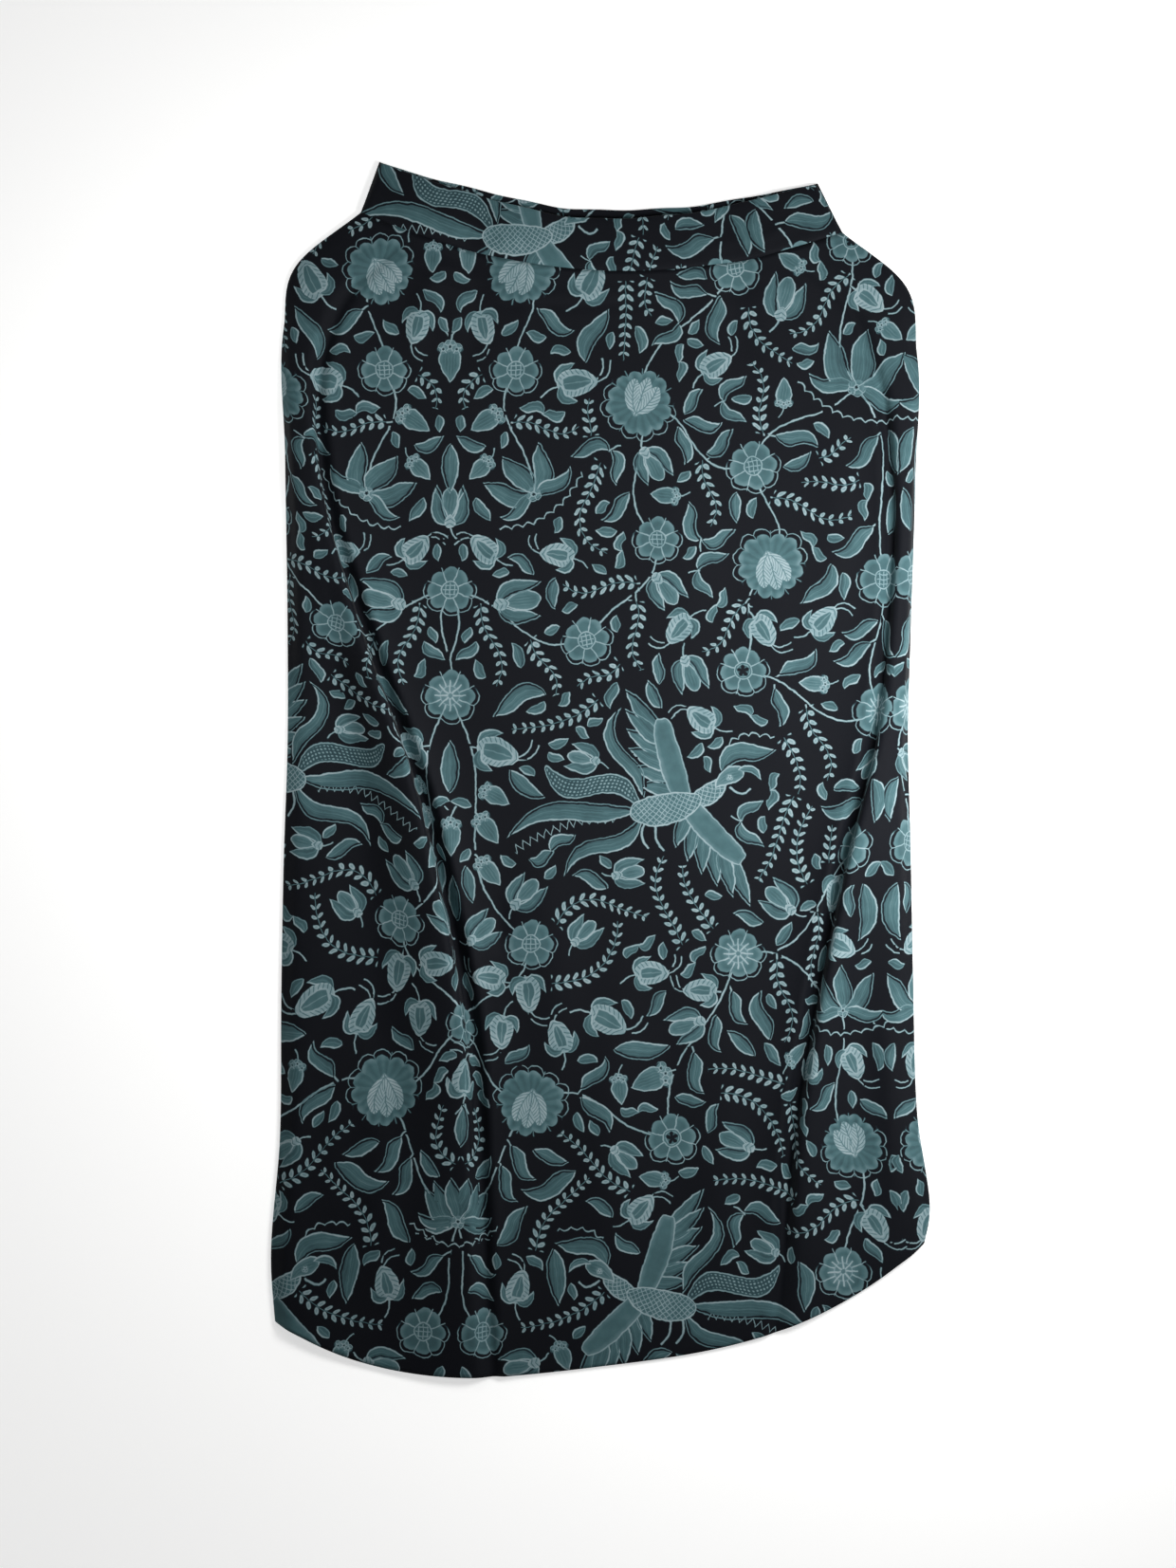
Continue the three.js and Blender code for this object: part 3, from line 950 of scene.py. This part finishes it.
def faces_of_flower(a, middle, corners):
    """The faces near a round flower, their corners' places from its heart, and how deep in it they are."""
    radius = np.linalg.norm(a.end - a.start)
    near = np.flatnonzero(np.abs(middle - a.start).max(axis=1) < radius + REACH)
    up = (a.end - a.start) / radius
    away = corners[near] - a.start
    local = np.stack([away @ np.array([up[1], -up[0]]), away @ up], axis=-1)
    return near, local, radius - np.linalg.norm(local, axis=-1), radius


def faces_of_curve(a, middle, corners):
    """The same for any other stroke, with the corners' places along and aside of its curve."""
    ends = np.array([a.start, a.bend, a.end])
    reach = a.width + abs(a.curl) + REACH
    inside = (middle > ends.min(axis=0) - reach) & (middle < ends.max(axis=0) + reach)
    near = np.flatnonzero(inside.all(axis=1))
    s, d, length = along_and_aside(a, corners[near].reshape(-1, 2))
    deep = depth_inside(a, s, d, length).reshape(-1, 4)
    return near, np.stack([s, d], axis=-1).reshape(-1, 4, 2), deep, length


def ink_cloth(piece, corners, axis_x, base_y):
    """Gives each face of a cloth its stroke in each layer. corners are its faces' places when flat."""
    faces = len(corners)
    middle = corners.mean(axis=1)
    low, high = middle.min(axis=0), middle.max(axis=0)
    origin = (axis_x, base_y)
    print(piece.name, "is cut from", (low - origin).round(), "to", (high - origin).round())
    at = np.zeros((LAYERS, faces, 4, 3))
    shape = np.zeros((LAYERS, faces, 3))
    shape[..., 2] = NO_INK
    depth = np.full((LAYERS, faces), -REACH)
    for original in pattern:
        for a in copies(original, low, high, axis_x, base_y):
            faces_of = faces_of_flower if a.ink in DISCS else faces_of_curve
            near, local, deep, length = faces_of(a, middle, corners)
            deepest = deep.max(axis=1)
            wins = deepest > depth[a.layer, near]
            chosen = near[wins]
            depth[a.layer, chosen] = deepest[wins]
            at[a.layer, chosen, :, :2] = local[wins]
            at[a.layer, chosen, :, 2] = a.curl
            shape[a.layer, chosen] = (length, a.width, a.ink)
    for layer in range(LAYERS):
        corner_data = piece.data.attributes.new(f"ink_at_{layer}", "FLOAT_VECTOR", "CORNER")
        corner_data.data.foreach_set("vector", at[layer].ravel())
        face_data = piece.data.attributes.new(f"ink_shape_{layer}", "FLOAT_VECTOR", "FACE")
        face_data.data.foreach_set("vector", shape[layer].ravel())


# %% [markdown]
# ## Masks as sums
#
# A mask in a material is a little sum on numbers that change over the cloth. Built node by node it
# is hard to read, so a small class lets the sums be written as sums: each operation adds one Math
# node to the tree.

# %% Sums in a node tree
SOFT_EDGE = 0.7  # millimetres over which ink fades into the cloth


class Sum:
    """A number in a node tree."""

    def __init__(self, tree, socket):
        self.tree, self.socket = tree, socket

    def op(self, operation, *others, clamp=False):
        node = self.tree.nodes.new("ShaderNodeMath")
        node.operation, node.use_clamp = operation, clamp
        for socket, value in zip(node.inputs, (self, *others)):
            if isinstance(value, Sum):
                self.tree.links.new(value.socket, socket)
            else:
                socket.default_value = value
        return Sum(self.tree, node.outputs[0])

    def __add__(self, other):
        return self.op("ADD", other)

    def __sub__(self, other):
        return self.op("SUBTRACT", other)

    def __mul__(self, other):
        return self.op("MULTIPLY", other)

    def __truediv__(self, other):
        return self.op("DIVIDE", other)

    def __pow__(self, other):
        return self.op("POWER", other)

    def __abs__(self):
        return self.op("ABSOLUTE")

    def low(self, other):
        return self.op("MINIMUM", other)

    def high(self, other):
        return self.op("MAXIMUM", other)

    def less_from(self, whole):
        return self.op("MULTIPLY", -1) + whole

    def wave(self, period):
        """How far a number is from the nearest multiple of a period."""
        return self.op("PINGPONG", period / 2)

    def inside(self, soft=SOFT_EDGE):
        """1 above zero and 0 below, softly."""
        return self.op("MULTIPLY_ADD", 1 / soft, 0.5, clamp=True)

    def line(self, half, soft=SOFT_EDGE):
        """1 where the number is near zero."""
        return abs(self).less_from(half).inside(soft)

    def equals(self, other):
        return self.op("COMPARE", other, 0.3)


# %% [markdown]
# ## The ink
#
# One node group draws every kind of stroke. Its inputs are a face's place along and aside of its
# stroke and the stroke's sizes. It puts out how much of the cloth the ink covers and its tone, from
# 0, the dark ground, past 0.5, teal, to 1, the pale wax line. A small noise moves every line a
# little, as a hand does.

# %% Ink node group
ink = bpy.data.node_groups.new("Batik ink", "ShaderNodeTree")
for name in ("At", "Shape", "Waver"):
    ink.interface.new_socket(name, in_out="INPUT", socket_type="NodeSocketVector")
for name in ("Cover", "Tone"):
    ink.interface.new_socket(name, in_out="OUTPUT", socket_type="NodeSocketFloat")
entry = ink.nodes.new("NodeGroupInput")
leave = ink.nodes.new("NodeGroupOutput")


def parts(tree, socket):
    node = tree.nodes.new("ShaderNodeSeparateXYZ")
    tree.links.new(socket, node.inputs[0])
    return [Sum(tree, output) for output in node.outputs]


s, d, curl = parts(ink, entry.outputs["At"])
length, width, kind = parts(ink, entry.outputs["Shape"])
waver_s, waver_d, _ = parts(ink, entry.outputs["Waver"])
s, d = s + waver_s, d + waver_d
share = (s / length).op("MULTIPLY", 1, clamp=True)
swayed = d - curl * (share * (2 * math.pi)).op("SINE")
aside = abs(swayed)
from_ends = s.low(length - s)
is_kind = {k: kind.equals(k) for k in (*LENSES, *LINES, *DISCS, SPRIG)}


def pick(values):
    """The value of the stroke's own kind."""
    total = None
    for k, value in values.items():
        term = is_kind[k] * value
        total = term if total is None else total + term
    return total


def below(value, limit, soft=SOFT_EDGE):
    return (value - limit).less_from(0).inside(soft)


print("ink group so far:", len(ink.nodes), "nodes")

# %% [markdown]
# ## Leaf-shaped ink
#
# Leaves, petals, feathers, bodies, bars, buds and flames are all lenses: pointed or blunt at their
# ends and widest somewhere between. They differ in what is drawn inside: pale edges and ribs, beads,
# a net, a serrated frill, or veins.

# %% Leaf-shaped ink
skewed = share ** pick(SKEW)
half = width * (skewed * skewed.less_from(1) * 4) ** pick(SQUARE)
edge = (half - aside).low(from_ends)
lit_edge = below(half - swayed, 1.25)
from_far = half + swayed
far_edge = below(from_far, 0.8)
gap = (from_far - 1.7).line(0.55) * is_kind[LEAF] * (width - 5).inside(1)
lens_cover = edge.inside() * gap.less_from(1)
outline = below(edge, 1.2)
halo = below(edge, 2.4, 4) * 0.14
rib = aside.line(0.35) * below(share, 0.85, 0.2)
lean = (swayed / (half + 0.5)).low(1).high(-1)
streaks = (swayed + s * 0.05).wave(2.4).line(0.3) * below(share, 0.8, 0.3)
bead_gap = ((s.wave(2.9) ** 2.0) + (swayed.wave(2.9) ** 2.0)) ** 0.5
beads = below(bead_gap, 0.75) * (edge - 2.4).inside(1)
net = (s + swayed).wave(4.6).line(0.4).high((s - swayed).wave(4.6).line(0.4))
frill = below(edge, 4.4)
ticks = (s + aside * 0.6).wave(3.6).line(0.4)
core_line = (edge - 4.9).line(0.6)
core_rib = aside.line(0.4) * (edge - 6).inside()
veins = (s - aside * 1.3).wave(3.4).line(0.4).high(aside.line(0.4))
leaf_lines = (lit_edge * 0.48).high(far_edge * 0.34).high(rib * 0.13).high(streaks * 0.07)
lens_tone = pick(
    {
        LEAF: leaf_lines + lean * 0.06 + 0.43,
        PETAL: (outline * 0.48).high(streaks * 0.12).high(halo) + 0.46,
        FEATHER: (outline * 0.5).high(beads * 0.5) + 0.34,
        BODY: (outline * 0.5).high(net * 0.42) + 0.5,
        BAR: (outline * 0.4).high(halo) + 0.48,
        BUD: frill * 0.34 - frill * ticks * 0.34 + core_line * 0.38 + core_rib * 0.2 + outline * 0.12 + 0.48,
        FLAME: veins * -0.4 + 0.92,
    }
)

print("with leaves:", len(ink.nodes), "nodes")

# %% [markdown]
# ## Lines and sprigs
#
# A vine is a plain pale line, and a zigzag and a scalloped wave are lines that swing aside of their
# curve. A sprig is a thin stem with pairs of leaflets like grains of rice, smaller towards its tip.

# %% Lines and sprigs
zig = (s.wave(6.4) - 1.6) * 1.9
scallop = (s * (math.pi / 9)).op("SINE").op("ABSOLUTE") * 2.6 - 1.3
line_half = is_kind[VINE] * width + is_kind[VINE].less_from(1) * 0.62
line_cover = (swayed - pick({ZIGZAG: zig, WAVE: scallop})).line(line_half) * (from_ends + 0.6).inside()
shrink = share * -0.4 + 1
leaflet_s = (s - aside * 0.6).wave(7.4).less_from(3.7) / (shrink * 2.2)
leaflet_d = (aside - shrink * 3.5) / (shrink * 3.0)
leaflet = (leaflet_s * leaflet_s + leaflet_d * leaflet_d) ** 0.5
sprig_cover = (leaflet.less_from(1) * 2.0).inside(0.7).high(aside.line(0.26) * 0.8) * from_ends.inside()
sprig_tone = (leaflet - 0.5).inside(0.4) * 0.2 + 0.74
print("with lines and sprigs:", len(ink.nodes), "nodes")

# %% [markdown]
# ## Round flowers
#
# A flower is drawn round its heart: scalloped petals with pale spokes between them, a net, a star or
# rays in the heart, and a loose scalloped line round the lower side. Here s and d are the place
# from the heart, length is the radius, and width is the count of petals.

# %% Round flowers
radius_at = (s * s + d * d) ** 0.5
angle = s.op("ARCTAN2", d)
petal_angle = angle * width * 0.5
between = abs(petal_angle.op("COSINE"))
on_spoke = between * radius_at * 2 / width
on_petal = abs(petal_angle.op("SINE")) * radius_at * 2 / width
uneven = (angle * 3 + 1).op("SINE") * 0.03 + (angle * 5).op("SINE") * 0.025
scalloped = (between * 1.5).low(1) ** 0.6 * 0.11 + between**4.0 * 0.035 + 0.74
rim = length * (scalloped + uneven) - radius_at
outside_heart = (radius_at - length * 0.34).inside()
spokes = on_spoke.line(0.45) * outside_heart * below(radius_at, length * 0.93)
frill_side = (d * -1 + length * 0.25).inside(6)
frill_line = (rim + length * 0.13).line(0.5) * frill_side
disc_cover = rim.inside().high(spokes).high(frill_line)
heart_ring = (radius_at - length * 0.33).line(0.45)
heart_net = s.wave(3.6).line(0.36).high(d.wave(3.6).line(0.36)) * below(radius_at, length * 0.28)
star_rim = length * (abs((angle * 2.5).op("COSINE")) * 0.17 + 0.08) - radius_at
rays = on_petal.line(0.55) * below(radius_at, length * 0.55) * (radius_at - length * 0.08).inside()
pleats = (petal_angle * 3).op("COSINE") * 0.06 * (radius_at / length)
disc_marks = pick(
    {
        ROSETTE: heart_ring.high(heart_net),
        STAR: heart_ring.high((radius_at - length * 0.24).line(0.4) * 0.7),
        SUNBURST: rays.high(heart_ring * 0.5),
    }
)
spoke_strength = is_kind[PEONY] * -0.42 + 0.46
disc_tone = (spokes * spoke_strength).high(frill_line * 0.4).high(disc_marks * 0.46)
disc_tone = disc_tone.high(below(rim, 2.6, 4.5) * 0.16) + pleats * is_kind[PEONY] + 0.46
disc_tone = disc_tone - is_kind[STAR] * star_rim.inside() * 0.42
disc_tone = disc_tone + is_kind[SUNBURST] * below(radius_at, length * 0.5, 5) * 0.12
print("with flowers:", len(ink.nodes), "nodes")

# %% [markdown]
# ## Cover and tone
#
# Each kind of ink has its own cover and tone, and the group passes on those of the stroke's kind.

# %% Cover and tone
is_lens = pick({k: 1 for k in LENSES})
is_line = pick({k: 1 for k in LINES})
is_disc = pick({k: 1 for k in DISCS})
is_sprig = is_kind[SPRIG]
cover = is_lens * lens_cover + is_line * line_cover + is_disc * disc_cover + is_sprig * sprig_cover
tone = is_lens * lens_tone + is_line * 0.9 + is_disc * disc_tone + is_sprig * sprig_tone
ink.links.new(cover.socket, leave.inputs["Cover"])
ink.links.new(tone.socket, leave.inputs["Tone"])
print("ink group:", len(ink.nodes), "nodes")

# %% [markdown]
# ## Printed cotton
#
# The cloth is dyed almost black round the motifs, and they are left in teals with pale lines where
# the wax was. The four layers of ink lie over each other as one tone, made a little patchy as hand
# dyeing is.

# %% Printed cotton
cotton = bpy.data.materials.new("Printed cotton")
cotton.use_nodes = True
tree = cotton.node_tree
shader = tree.nodes["Principled BSDF"]
cloth_map = tree.nodes.new("ShaderNodeUVMap")
cloth_map.uv_map = "FlatCloth"


def noise(scale, detail=2.0):
    node = tree.nodes.new("ShaderNodeTexNoise")
    node.inputs["Scale"].default_value = scale
    node.inputs["Detail"].default_value = detail
    tree.links.new(cloth_map.outputs["UV"], node.inputs["Vector"])
    return node


WAVER = 1.3  # millimetres that a hand-drawn line strays either way
waver = tree.nodes.new("ShaderNodeVectorMath")
waver.operation = "MULTIPLY_ADD"
waver.inputs[1].default_value = (2 * WAVER, 2 * WAVER, 2 * WAVER)
waver.inputs[2].default_value = (-WAVER, -WAVER, -WAVER)
tree.links.new(noise(140).outputs["Color"], waver.inputs[0])
tone = None
for layer in range(LAYERS):
    group = tree.nodes.new("ShaderNodeGroup")
    group.node_tree = ink
    tree.links.new(waver.outputs["Vector"], group.inputs["Waver"])
    for socket, name in (("At", f"ink_at_{layer}"), ("Shape", f"ink_shape_{layer}")):
        attribute = tree.nodes.new("ShaderNodeAttribute")
        attribute.attribute_name = name
        tree.links.new(attribute.outputs["Vector"], group.inputs[socket])
    layer_cover = Sum(tree, group.outputs["Cover"])
    layer_tone = Sum(tree, group.outputs["Tone"])
    tone = layer_cover * layer_tone if tone is None else tone + layer_cover * (layer_tone - tone)
blotches, clouds = (Sum(tree, noise(*size).outputs["Fac"]) for size in ((110, 3), (34, 2)))
patchy = blotches * 0.3 + clouds * 0.42 - 0.36
tone = tone + patchy * tone
print("layers of ink:", LAYERS)

# %% [markdown]
# ## Dyes and finish
#
# Five tones of dye run from the blue-black ground to the palest wax line. Washed cotton is matt,
# with a low gloss and a faint sheen from its loose fibres.

# %% Dyes and finish
def srgb(*channels):
    """A colour named by its screen values, as the linear colour that a shader wants."""
    return [c / 255 / 12.92 if c <= 10 else ((c / 255 + 0.055) / 1.055) ** 2.4 for c in channels] + [1]


ramp = tree.nodes.new("ShaderNodeValToRGB")
DYES = [
    (0, (11, 14, 21)),
    (0.25, (31, 46, 54)),
    (0.5, (73, 106, 111)),
    (0.75, (117, 145, 151)),
    (1, (158, 177, 182)),
]
ramp.color_ramp.elements[0].color = srgb(*DYES[0][1])
ramp.color_ramp.elements[1].color = srgb(*DYES[-1][1])
for place, colour in DYES[1:-1]:
    ramp.color_ramp.elements.new(place).color = srgb(*colour)
tree.links.new(tone.socket, ramp.inputs["Fac"])
tree.links.new(ramp.outputs["Color"], shader.inputs["Base Color"])
FINISH = {"Roughness": 0.75, "Specular IOR Level": 0.16, "Sheen Weight": 0.14, "Sheen Roughness": 0.3}
for name, value in FINISH.items():
    shader.inputs[name].default_value = value

# %% [markdown]
# ## The weave
#
# Plain cotton has threads over and under each other, too fine to see one by one from above but
# enough to break up the light. Two sets of fine waves across the flat cloth stand for them.

# %% Weave
THREAD = 0.45  # millimetres from one thread to the next
weave = bpy.data.node_groups.new("Cotton weave", "ShaderNodeTree")
weave.interface.new_socket("Cloth", in_out="INPUT", socket_type="NodeSocketVector")
weave.interface.new_socket("Height", in_out="OUTPUT", socket_type="NodeSocketFloat")
weave_in = weave.nodes.new("NodeGroupInput")
weave_out = weave.nodes.new("NodeGroupOutput")
across, along, _ = parts(weave, weave_in.outputs["Cloth"])
warp = (across * (math.pi / THREAD / MM)).op("SINE")
weft = (along * (math.pi / THREAD / MM)).op("SINE")
slub = weave.nodes.new("ShaderNodeTexNoise")
slub.inputs["Scale"].default_value = 700
weave.links.new(weave_in.outputs["Cloth"], slub.inputs["Vector"])
woven = warp * weft * 0.5 + 0.5 + Sum(weave, slub.outputs["Fac"]) * 1.4
weave.links.new(woven.socket, weave_out.inputs["Height"])
threads = tree.nodes.new("ShaderNodeGroup")
threads.node_tree = weave
tree.links.new(cloth_map.outputs["UV"], threads.inputs["Cloth"])
bump = tree.nodes.new("ShaderNodeBump")
bump.inputs["Strength"].default_value = 0.35
bump.inputs["Distance"].default_value = 0.00012
tree.links.new(threads.outputs["Height"], bump.inputs["Height"])
tree.links.new(bump.outputs["Normal"], shader.inputs["Normal"])
print("material nodes:", len(tree.nodes))

# %% [markdown]
# ## The waistband
#
# A waistband is a strip of the same cloth folded along its top edge, sewn to the panel along its
# lower one. Seen from the end it is a narrow upside-down U. The front half stands a little off the
# back half between the places where they touch, and the two halves close on each other at the sides.

# %% Strips for the waistband
BAND_LAP = 1.2  # how far the waistband covers the top of the panel
BAND_CELL = 3.4
BAND_LENGTH = TABLE[-1][RIGHT_X] - TABLE[-1][LEFT_X]
BAND_TURN, BAND_THINNEST = 2.6, 0.45  # the two faces close on each other this near the ends, to this share
BAND_PUFF, TUCK = 0.7, 1.0  # the outer face swells between its edges, and tucks in at the seam
INNER_PLACES, ROUND_PLACES, OUTER_PLACES = 9, 5, 13  # points across the strip on each stretch
BAND_CREASES = [
    Crease("left squeeze", -164, 446, -104, 422, 2, 4, 2.0),
    Crease("left squeeze, second", -136, 448, -82, 424, 2, 4, 1.6),
    Crease("left squeeze, third", -108, 442, -60, 420, 2, 4.5, 1.2),
    Crease("right squeeze", 160, 436, 108, 412, -2, 4.5, 1.6),
    Crease("right squeeze, second", 128, 430, 84, 410, -2, 5, 1.1),
]


def uneven_edge(x):
    """How far the top of the waistband strays from its smooth curve."""
    return 1.1 * np.sin(x * 0.055 + 0.6) + 0.8 * np.sin(x * 0.121 + 2.0)


print("the waistband is", BAND_LENGTH, "mm long at its seam")

# %% [markdown]
# ## Points of a waistband
#
# Rows of points go up the inner face, round the folded edge and down the outer one. The outer face
# swells a little and has small creases, and the top edge isn't quite straight.

# %% Points of a waistband
def band_points(top_edge, low, high, close):
    """Points of a folded strip between the seam row and a top edge. low and high are its two faces,
    as heights at x, and close is where they meet at the side ends. Returns its places as well."""
    bottom = TABLE[-1]
    top = np.array([*top_edge.left, *top_edge.right, top_edge.bow, top_edge.fullness])
    share = np.linspace(0, 1, int(BAND_LENGTH / BAND_CELL))
    from_end = np.minimum(share, 1 - share)
    low_x = bottom[LEFT_X] + BAND_LENGTH * share
    high_x = top[LEFT_X] + (top[RIGHT_X] - top[LEFT_X]) * share
    seam = np.stack([low_x, row_y(bottom, low_x) - BAND_LAP], axis=1)
    edge = np.stack([high_x, row_y(top, high_x) + uneven_edge(high_x) * from_end**0.5], axis=1)
    ends = np.clip(from_end * BAND_LENGTH / BAND_TURN, 0, 1)
    closing = np.maximum(np.sqrt(1 - (1 - ends) ** 2), BAND_THINNEST)
    inner_z, outer_z = low(low_x), high(low_x)
    half = np.abs(outer_z - inner_z) / 2
    span = np.linalg.norm(edge - seam, axis=1)
    up = (edge - seam) / span[:, None]
    way = np.sign(np.mean(outer_z - inner_z))
    puff = BAND_PUFF if way > 0 else 0
    profile = [(a, "inner") for a in np.linspace(0.06, 1, INNER_PLACES)]
    profile += [(a, "round") for a in np.linspace(0, 1, ROUND_PLACES + 2)[1:-1]]
    profile += [(a, "outer") for a in np.linspace(1, 0, OUTER_PLACES)]
    rows, places = [], []
    for a, part in profile:
        reach = (span - half) * a
        spot = seam + up * reach[:, None]
        if part == "inner":
            z = inner_z
        elif part == "outer" and a > 0:
            wrinkled = creased(spot[:, 0], spot[:, 1], BAND_CREASES) * puff
            z = outer_z + (puff + wrinkled) * math.sin(math.pi * a) ** 0.8
        elif part == "outer":
            z = outer_z - way * TUCK
        else:
            turn = math.pi * a
            reach = span - half + half * math.sin(turn)
            spot = seam + up * reach[:, None]
            z = (inner_z + outer_z) / 2 - way * half * math.cos(turn)
        rows.append(np.column_stack([spot, close + (z - close) * closing]))
        back_by = 2 * span - reach if part == "inner" else reach
        places.append(np.stack([low_x, back_by], axis=1))
    return np.array(rows), np.array(places)


BAND_MIDDLE = BAND_WALL + LAY_GAP / 2
front_band_points, front_band_places = band_points(
    FRONT_TOP_EDGE,
    lambda x: BAND_LIFT + SHELL + band_rise(x),
    lambda x: BAND_LIFT + BAND_WALL + band_rise(x),
    BAND_MIDDLE + SHELL,
)
back_band_points, back_band_places = band_points(
    BACK_TOP_EDGE,
    lambda x: BAND_WALL + 0 * x,
    lambda x: 0 * x,
    BAND_MIDDLE - 0.1,
)
print("waistband strips:", front_band_points.shape, back_band_points.shape)

# %% [markdown]
# ## The cloth pieces
#
# Four pieces are cut: two panels and two halves of the waistband. Each is cut from its own place on
# the printed cloth, so that no motif meets itself at a seam, gets the thickness of the cotton, and
# takes over from its solid. A fold of cloth stands out of the same piece, so none is added.

# %% The cloth pieces
Cut = namedtuple("Cut", "name points places node shift held rests_on")
CUTS = [
    Cut("skirt_front", front_points, front_places, "front_panel", (-119, -490), "laid", ["skirt_back"]),
    Cut("skirt_back", back_points[:, ::-1], back_places[:, ::-1], "back_panel", (150, -490), "laid", []),
    Cut(
        "front_waistband",
        front_band_points[:, ::-1],
        front_band_places[:, ::-1],
        "waistband_front",
        (-238, -441),
        "folded",
        ["back_waistband"],
    ),
    Cut("back_waistband", back_band_points, back_band_places, "waistband_back", (120, -560), "folded", []),
]


def flat_area(corners):
    """The area of faces laid flat, from the diagonals of each."""
    a, b = corners[:, 2] - corners[:, 0], corners[:, 3] - corners[:, 1]
    return float(np.abs(a[:, 0] * b[:, 1] - a[:, 1] * b[:, 0]).sum() / 2)


for cut in CUTS:
    piece, corners = cloth_from(cut.name, cut.points, cut.places, cotton)
    ink_cloth(piece, corners, *cut.shift)
    thicken(piece)
    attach(piece, "root")
    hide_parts(cut.node)
    size = corners.max(axis=(0, 1)) - corners.min(axis=(0, 1))
    flat = sorted((size * MM).tolist())
    area = flat_area(corners) * MM * MM
    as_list(cut.rests_on)
    print(cut.name, len(piece.data.polygons), "faces, cut", size.round(), "mm,", round(area, 3), "m2")

# %% [markdown]
# ## Table
#
# The table is pale and glows faintly, as a light table does, so that it stays white where the light
# falls off. Far out it curves up into a wall, as a studio's backdrop does, so that no dark horizon
# shows from the side, and the wall's own glow lights the cloth faintly from all round. A circle is
# extruded along a quarter of an arc, step by step.

# %% Table
TABLE_LEVEL, TABLE_RADIUS, COVE_RADIUS = -0.0003, 8.0, 3.0  # metres
COVE_STEPS = 12
dish = bmesh.new()
level = Matrix.Translation((0, 0, TABLE_LEVEL))
bmesh.ops.create_circle(dish, cap_ends=True, segments=96, radius=TABLE_RADIUS, matrix=level)
rim, radius, rise = dish.edges[:], TABLE_RADIUS, 0
for step in range(1, COVE_STEPS + 1):
    turn = math.pi / 2 * step / COVE_STEPS
    wider = TABLE_RADIUS + COVE_RADIUS * math.sin(turn)
    higher = COVE_RADIUS * (1 - math.cos(turn))
    added = bmesh.ops.extrude_edge_only(dish, edges=rim)["geom"]
    rim = [part for part in added if isinstance(part, bmesh.types.BMEdge)]
    corners = [part for part in added if isinstance(part, bmesh.types.BMVert)]
    bmesh.ops.scale(dish, vec=(wider / radius, wider / radius, 1), verts=corners)
    bmesh.ops.translate(dish, vec=(0, 0, higher - rise), verts=corners)
    radius, rise = wider, higher
bmesh.ops.recalc_face_normals(dish, faces=dish.faces[:])
table_mesh = bpy.data.meshes.new("table_top")
dish.to_mesh(table_mesh)
dish.free()
floor = bpy.data.objects.new("table_top", table_mesh)
collection.objects.link(floor)
paper = bpy.data.materials.new("Pale table")
paper.use_nodes = True
glow = paper.node_tree.nodes["Principled BSDF"]
glow.inputs["Base Color"].default_value = srgb(236, 236, 234)
glow.inputs["Roughness"].default_value = 0.9
glow.inputs["Emission Color"].default_value = (1, 1, 1, 1)
glow.inputs["Emission Strength"].default_value = 0.62
floor.data.materials.append(paper)
print("the table and its wall have", len(table_mesh.polygons), "faces")

# %% [markdown]
# ## Camera and light
#
# The skirt is seen from straight above, so the camera looks down from over its middle. A soft light
# from the right, fairly low, rounds the folds, and a weak one at the upper left fills them.

# %% Camera and light
VIEW_HEIGHT = 1.243  # metres of table from the top to the bottom of the picture
VIEW_X, VIEW_Y = -0.0098, -0.0117  # the middle of the picture on the table
LENS, SENSOR = 60, 36
camera = bpy.data.objects.new("Camera", bpy.data.cameras.new("Camera"))
camera.data.lens, camera.data.sensor_width = LENS, SENSOR
camera.location = (VIEW_X, VIEW_Y, VIEW_HEIGHT * LENS / SENSOR)
collection.objects.link(camera)
bpy.context.scene.camera = camera


def area_light(name, place, size, power, aim=(0, 0, 0)):
    lamp = bpy.data.lights.new(name, "AREA")
    lamp.size, lamp.energy = size, power
    light = bpy.data.objects.new(name, lamp)
    light.location = place
    light.rotation_euler = (Vector(aim) - Vector(place)).to_track_quat("-Z", "Y").to_euler()
    light.visible_camera = False
    collection.objects.link(light)


area_light("Softbox", (0.45, 0.07, 0.52), 0.3, 6.0, (0.12, 0, 0))
area_light("Fill", (-0.24, 0.25, 0.5), 0.3, 0.85, (-0.1, 0.1, 0))
world = bpy.data.worlds.new("Room")
world.use_nodes = True
sky = world.node_tree.nodes["Background"]
sky.inputs["Color"].default_value = (1, 1, 1, 1)
sky.inputs["Strength"].default_value = 0.01
bpy.context.scene.world = world
bpy.context.scene.view_settings.view_transform = "Standard"
print("the camera is", round(camera.location.z, 2), "m above the table")
